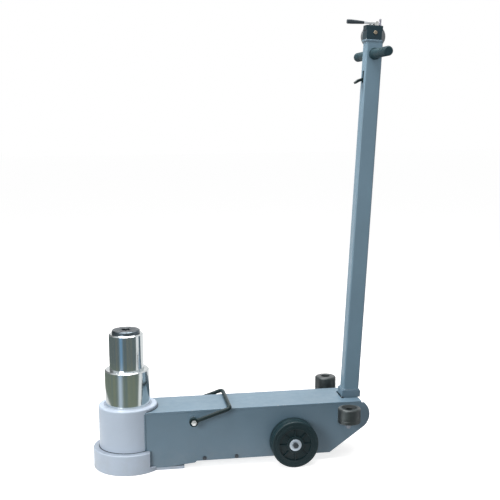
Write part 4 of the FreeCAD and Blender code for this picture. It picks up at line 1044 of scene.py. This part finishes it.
class JACK_OT_wheels(JackOperator, bpy.types.Operator):
    """Finishes the tyres and the ribbed hubs"""
    bl_idname = "jack.wheels"
    bl_label = "Wheels"

    def make(self, sizes):
        inboard, outboard, web_middle = 0.0713, 0.1156, 0.0341
        wide = outboard - inboard
        for side, out in SIDES.items():
            place = axis_place((AXLE[0], out * inboard, AXLE[1]), (0, out, 0))
            tyre = turned_piece(f"{side}_tyre_rubber", self.tyre(wide, sizes.groove), 6,
                                finish_of("wheel_rubber"), place, 160)
            settle(tyre, "wheel_rubber", f"{side}_wheel", f"{side}_tyre")
            work = bmesh.new()
            ring_turn(work, rounded_outline(self.hub(wide), 4), 128)
            material = finish_of("wheel_hub")
            rib = self.rib(sizes.hub_rib_width, wide)
            hub = grown(f"{side}_hub_ribbed", mesh_of(f"{side}_hub_web", work),
                        circle_graph(f"{side}_hub_ribs", material, rib), material, place, rib,
                        Count=sizes.hub_ribs, Radius=web_middle, Height=wide / 2)
            settle(hub, "wheel_hub", f"{side}_wheel", f"{side}_hub")

    def tyre(self, wide, groove):
        """Rounded shoulders, two grooves round the tread and a shallow step round each side wall."""
        inner, outer, dip, draft, step = 0.05005, 0.065, 0.0013, 0.0004, 0.0007
        start, end = wide * 0.30 - groove / 2, wide * 0.30 + groove / 2
        return both_faces([
            (inner, 0.0, 0.0004), (0.0535, 0.0, 0.0004), (0.0540, step, 0.0003), (0.0572, step, 0.0003),
            (0.0577, 0.0, 0.0004), (outer, 0.0, 0.0040), (outer, start, 0.0005),
            (outer - dip, start + draft, 0), (outer - dip, end - draft, 0), (outer, end, 0.0005)], wide)

    def hub(self, wide):
        """A boss and a rim with a web between them, sunk from each face."""
        bore, boss, rim, seat = 0.01006, 0.024, 0.044, 0.050
        sunk, draft, soft = 0.006, 0.0006, 0.0009
        return both_faces([
            (bore, 0, 0.0005), (boss, 0, soft), (boss + draft, sunk, soft), (rim - draft, sunk, soft),
            (rim, 0, soft), (seat, 0, 0.0004)], wide)

    def rib(self, thick, wide):
        """A bar across the hub's web, proud of it on both faces."""
        half_long, below_face, rounding = 0.0108, 0.0019, 0.0006
        work = bmesh.new()
        half = (half_long, thick / 2, wide / 2 - below_face)
        bmesh.ops.create_cube(work, size=2.0, matrix=Matrix.Diagonal((*half, 1)))
        bmesh.ops.bevel(work, geom=work.edges, offset=rounding, segments=2, affect="EDGES")
        return template("hub_rib", work)


class JACK_OT_bail(JackOperator, bpy.types.Operator):
    """Enamels the carrying bail"""
    bl_idname = "jack.bail"
    bl_label = "Carrying bail"

    def make(self, sizes):
        dress(["carrying_bail"], sizes.edge_round / 2)


class JACK_OT_adapters(JackOperator, bpy.types.Operator):
    """Blackens the two stored ram extensions"""
    bl_idname = "jack.adapters"
    bl_label = "Ram extensions"

    def make(self, sizes):
        through, rim, socket, socket_deep, dish_deep = 0.0063, 0.031, 0.0090, 0.020, 0.0045
        # a turned line round the body, as its bottom, its height and its depth
        line, line_high, line_deep, chamfer = 0.0085, 0.0030, 0.0006, 0.0052
        for side, high, dish in (("left", 0.041, 0.0205), ("right", 0.051, 0.0135)):
            at = Vector((STORE_BACK, SIDES[side] * STORE_OUT, STORE_BASE))
            piece = turned_piece(f"{side}_extension", [
                (through, 0.0, 0.0005), (rim, 0.0, 0.0012), (rim, line, 0.0003),
                (rim - line_deep, line + line_deep, 0.0003),
                (rim - line_deep, line + line_high - line_deep, 0.0003), (rim, line + line_high, 0.0003),
                (rim, high, chamfer), (dish, high, 0.0004), (socket, high - dish_deep, 0.0004),
                (socket, high - socket_deep, 0.0004), (through, high - socket_deep, 0.0004)], 7,
                finish_of("adapter_steel"), Matrix.Translation(at), 128)
            # painted shade in the dish and the socket
            self.shade_recess(piece, at, dish)
            settle(piece, "adapter_steel", f"{side}_adapter", f"{side}_adapter")

    def shade_recess(self, piece, at, dish):
        """Gives the dish and the socket below it a near-black finish of their own, as painted shade in the recess.
        """
        lip, bottom = 0.0006, 0.001
        piece.data.materials.append(finish_of("socket_shade"))
        for face in piece.data.polygons:
            spot = face.center - at
            if spot.to_2d().length < dish - lip and spot.z > bottom:
                face.material_index = 1


class JACK_OT_handle(JackOperator, bpy.types.Operator):
    """Paints the handle's socket and tube, and finishes its bar, trigger and lock rod"""
    bl_idname = "jack.handle"
    bl_label = "Handle"

    def make(self, sizes):
        dress(["handle_yoke", "head_plate"], sizes.edge_round)
        # the tube's paint is the chassis paint made lighter, as painted light
        dress(["handle_tube"], sizes.edge_round, "handle_paint")
        dress(["tee_bar", "trigger"], sizes.edge_round / 2)
        dress(["trigger_pin"], slot="handle_paint")
        dress(["release_rod"])
        bar_high, start, end = 0.997, 0.022, 0.150
        sleeve = sleeve_graph("grip_sleeve", finish_of("grip_rubber"))
        for side, out in SIDES.items():
            ends = [(0, out * along, bar_high) for along in (start, end)]
            line = polyline(f"{side}_grip_line", [(ends, False)])
            grip = grown(f"{side}_grip_sleeve", line, sleeve, finish_of("grip_rubber"), HANDLE,
                         Pitch=sizes.grip_rib_pitch, Depth=sizes.grip_rib_depth)
            settle(grip, "grip_rubber", "handle", f"{side}_grip")


class JACK_OT_control_head(JackOperator, bpy.types.Operator):
    """Finishes the control valve and its lever"""
    bl_idname = "jack.control_head"
    bl_label = "Control head"

    def make(self, sizes):
        dress(["valve_block", "valve_cap", "lever_clevis"], sizes.edge_round)
        dress(["control_lever"], sizes.edge_round / 2)
        dress(["lever_pin", "valve_plunger"])
        self.cover(sizes)
        self.nipple()
        self.screw()
        self.lever_sleeve()

    def cover(self, sizes):
        """The cast cover: a stepped rim, a dished face and a ring of screws."""
        rim, proud, dished, screw_circle, screw_seat = 0.033, 0.0220, 0.0200, 0.0202, 0.0202
        work = bmesh.new()
        ring_turn(work, rounded_outline([
            (0, 0, 0), (0.0320, 0, 0.0008), (0.0320, 0.0055, 0.0008), (rim, 0.0065, 0.0008),
            (rim, proud, 0.0040), (0.0245, proud, 0.0010), (0.0235, dished, 0.0010),
            (0.0090, dished, 0.0010), (0.0080, proud, 0.0010), (0, proud, 0)], 5), 96)
        head = bmesh.new()
        ring_turn(head, rounded_outline([(0, -0.004, 0), (0.0024, -0.004, 0), (0.0024, 0.0015, 0.0006),
                                         (0.0012, 0.0015, 0), (0.0012, 0.0004, 0), (0, 0.0004, 0)], 3), 20)
        screw = template("cover_screw_head", head)
        material = finish_of("valve_metal")
        cover = grown("cover_cast", mesh_of("cover_casting", work),
                      circle_graph("cover_screws", material, screw), material,
                      HANDLE @ axis_place((0.0075, 0.02005, 1.047), (0, 1, 0)), screw,
                      Count=sizes.cover_screws, Radius=screw_circle, Height=screw_seat)
        settle(cover, "valve_metal", "handle", "valve_cover")

    def nipple(self):
        """The hose nipple: a collar and a barbed stem with its bore."""
        stem, tip, root, collar, top, bore = 0.0032, 0.0026, 0.0027, 0.0040, 0.0195, 0.0016
        first, pitch, barb = 0.0062, 0.0030, 0.0029
        barbs = []
        for low in (first + step * pitch for step in range(4)):
            barbs += [(stem, low, 0.0001), (tip, low + barb, 0)]
        piece = turned_piece("hose_nipple", [
            (0, -0.007, 0), (stem, -0.007, 0), (stem, 0.0, 0), (collar, 0.0, 0.0003),
            (collar, 0.0050, 0.0005), (root, 0.0052, 0), *barbs, (root, top, 0.0004), (bore, top, 0.0002),
            (bore, 0.0100, 0), (0, 0.0100, 0)], 3, finish_of("nipple_steel"),
            HANDLE @ Matrix.Translation((0.016, 0, 1.07275)), 40)
        settle(piece, "bright_steel", "handle", "air_nipple")

    def screw(self):
        """The adjusting screw on the block's left face, with a socket in its head."""
        shank, head, socket, high = 0.0025, 0.005, 0.0024, 0.0035
        piece = turned_piece("adjusting_screw", [
            (0, -0.007, 0), (shank, -0.007, 0), (shank, 0.0, 0), (head, 0.0, 0.0002), (head, high, 0.0009),
            (socket, high, 0.0002), (0.0022, 0.0012, 0), (0, 0.0012, 0)], 4, finish_of("brass"),
            HANDLE @ axis_place((-0.0012, -0.0190, 1.05355), (0, -1, 0)), 48)
        settle(piece, "bright_steel", "handle", "valve_screw")

    def lever_sleeve(self):
        """The lever's moulded grip, thickest near its end and tapered to the bar."""
        level = 1.07975
        # each section's place along the lever, half width and half height
        sections = ((-0.0770, 0.0052, 0.0034), (-0.0767, 0.0066, 0.0048), (-0.0758, 0.0076, 0.0057),
                    (-0.0740, 0.0080, 0.0060), (-0.0660, 0.0079, 0.0060), (-0.0600, 0.0076, 0.0057),
                    (-0.0450, 0.0071, 0.0047), (-0.0340, 0.0069, 0.0041), (-0.0312, 0.0072, 0.0040),
                    (-0.0302, 0.0070, 0.0038), (-0.0300, 0.0066, 0.0034))
        work = bmesh.new()
        skin(work, [[work.verts.new(point) for point in soft_square(*section, level)]
                    for section in sections])
        piece = from_bmesh("lever_sleeve", work, finish_of("lever_plastic"), HANDLE)
        settle(piece, "lever_plastic", "lever", "lever_grip")


PIECES = (JACK_OT_stage, JACK_OT_chassis, JACK_OT_ram, JACK_OT_welds, JACK_OT_screws, JACK_OT_fittings,
          JACK_OT_wheels, JACK_OT_bail, JACK_OT_adapters, JACK_OT_handle, JACK_OT_control_head)
SETTINGS = {"jack_sizes": JackSizes, "jack_colours": JackColours, "jack_stage": JackStage}


class JACK_PT_pieces(bpy.types.Panel):
    """Lists the jack's pieces in the order that they are made"""
    bl_idname = "JACK_PT_pieces"
    bl_label = "Two-stage floor jack"
    bl_space_type = "VIEW_3D"
    bl_region_type = "UI"
    bl_category = "Jack"

    def draw(self, context):
        for operator in PIECES:
            self.layout.operator(operator.bl_idname)
        for name, group in SETTINGS.items():
            box = self.layout.box()
            for item in group.__annotations__:
                box.prop(getattr(context.scene, name), item)


CLASSES = (*SETTINGS.values(), *PIECES, JACK_PT_pieces)


def register():
    for cls in CLASSES:
        bpy.utils.register_class(cls)
    for name, group in SETTINGS.items():
        setattr(bpy.types.Scene, name, PointerProperty(type=group))


def unregister():
    for name in SETTINGS:
        delattr(bpy.types.Scene, name)
    for cls in reversed(CLASSES):
        bpy.utils.unregister_class(cls)


def main():
    register()
    for operator in PIECES:
        name = operator.bl_idname.split(".")[1]
        getattr(bpy.ops.jack, name)()


if __name__ == "__main__":
    main()
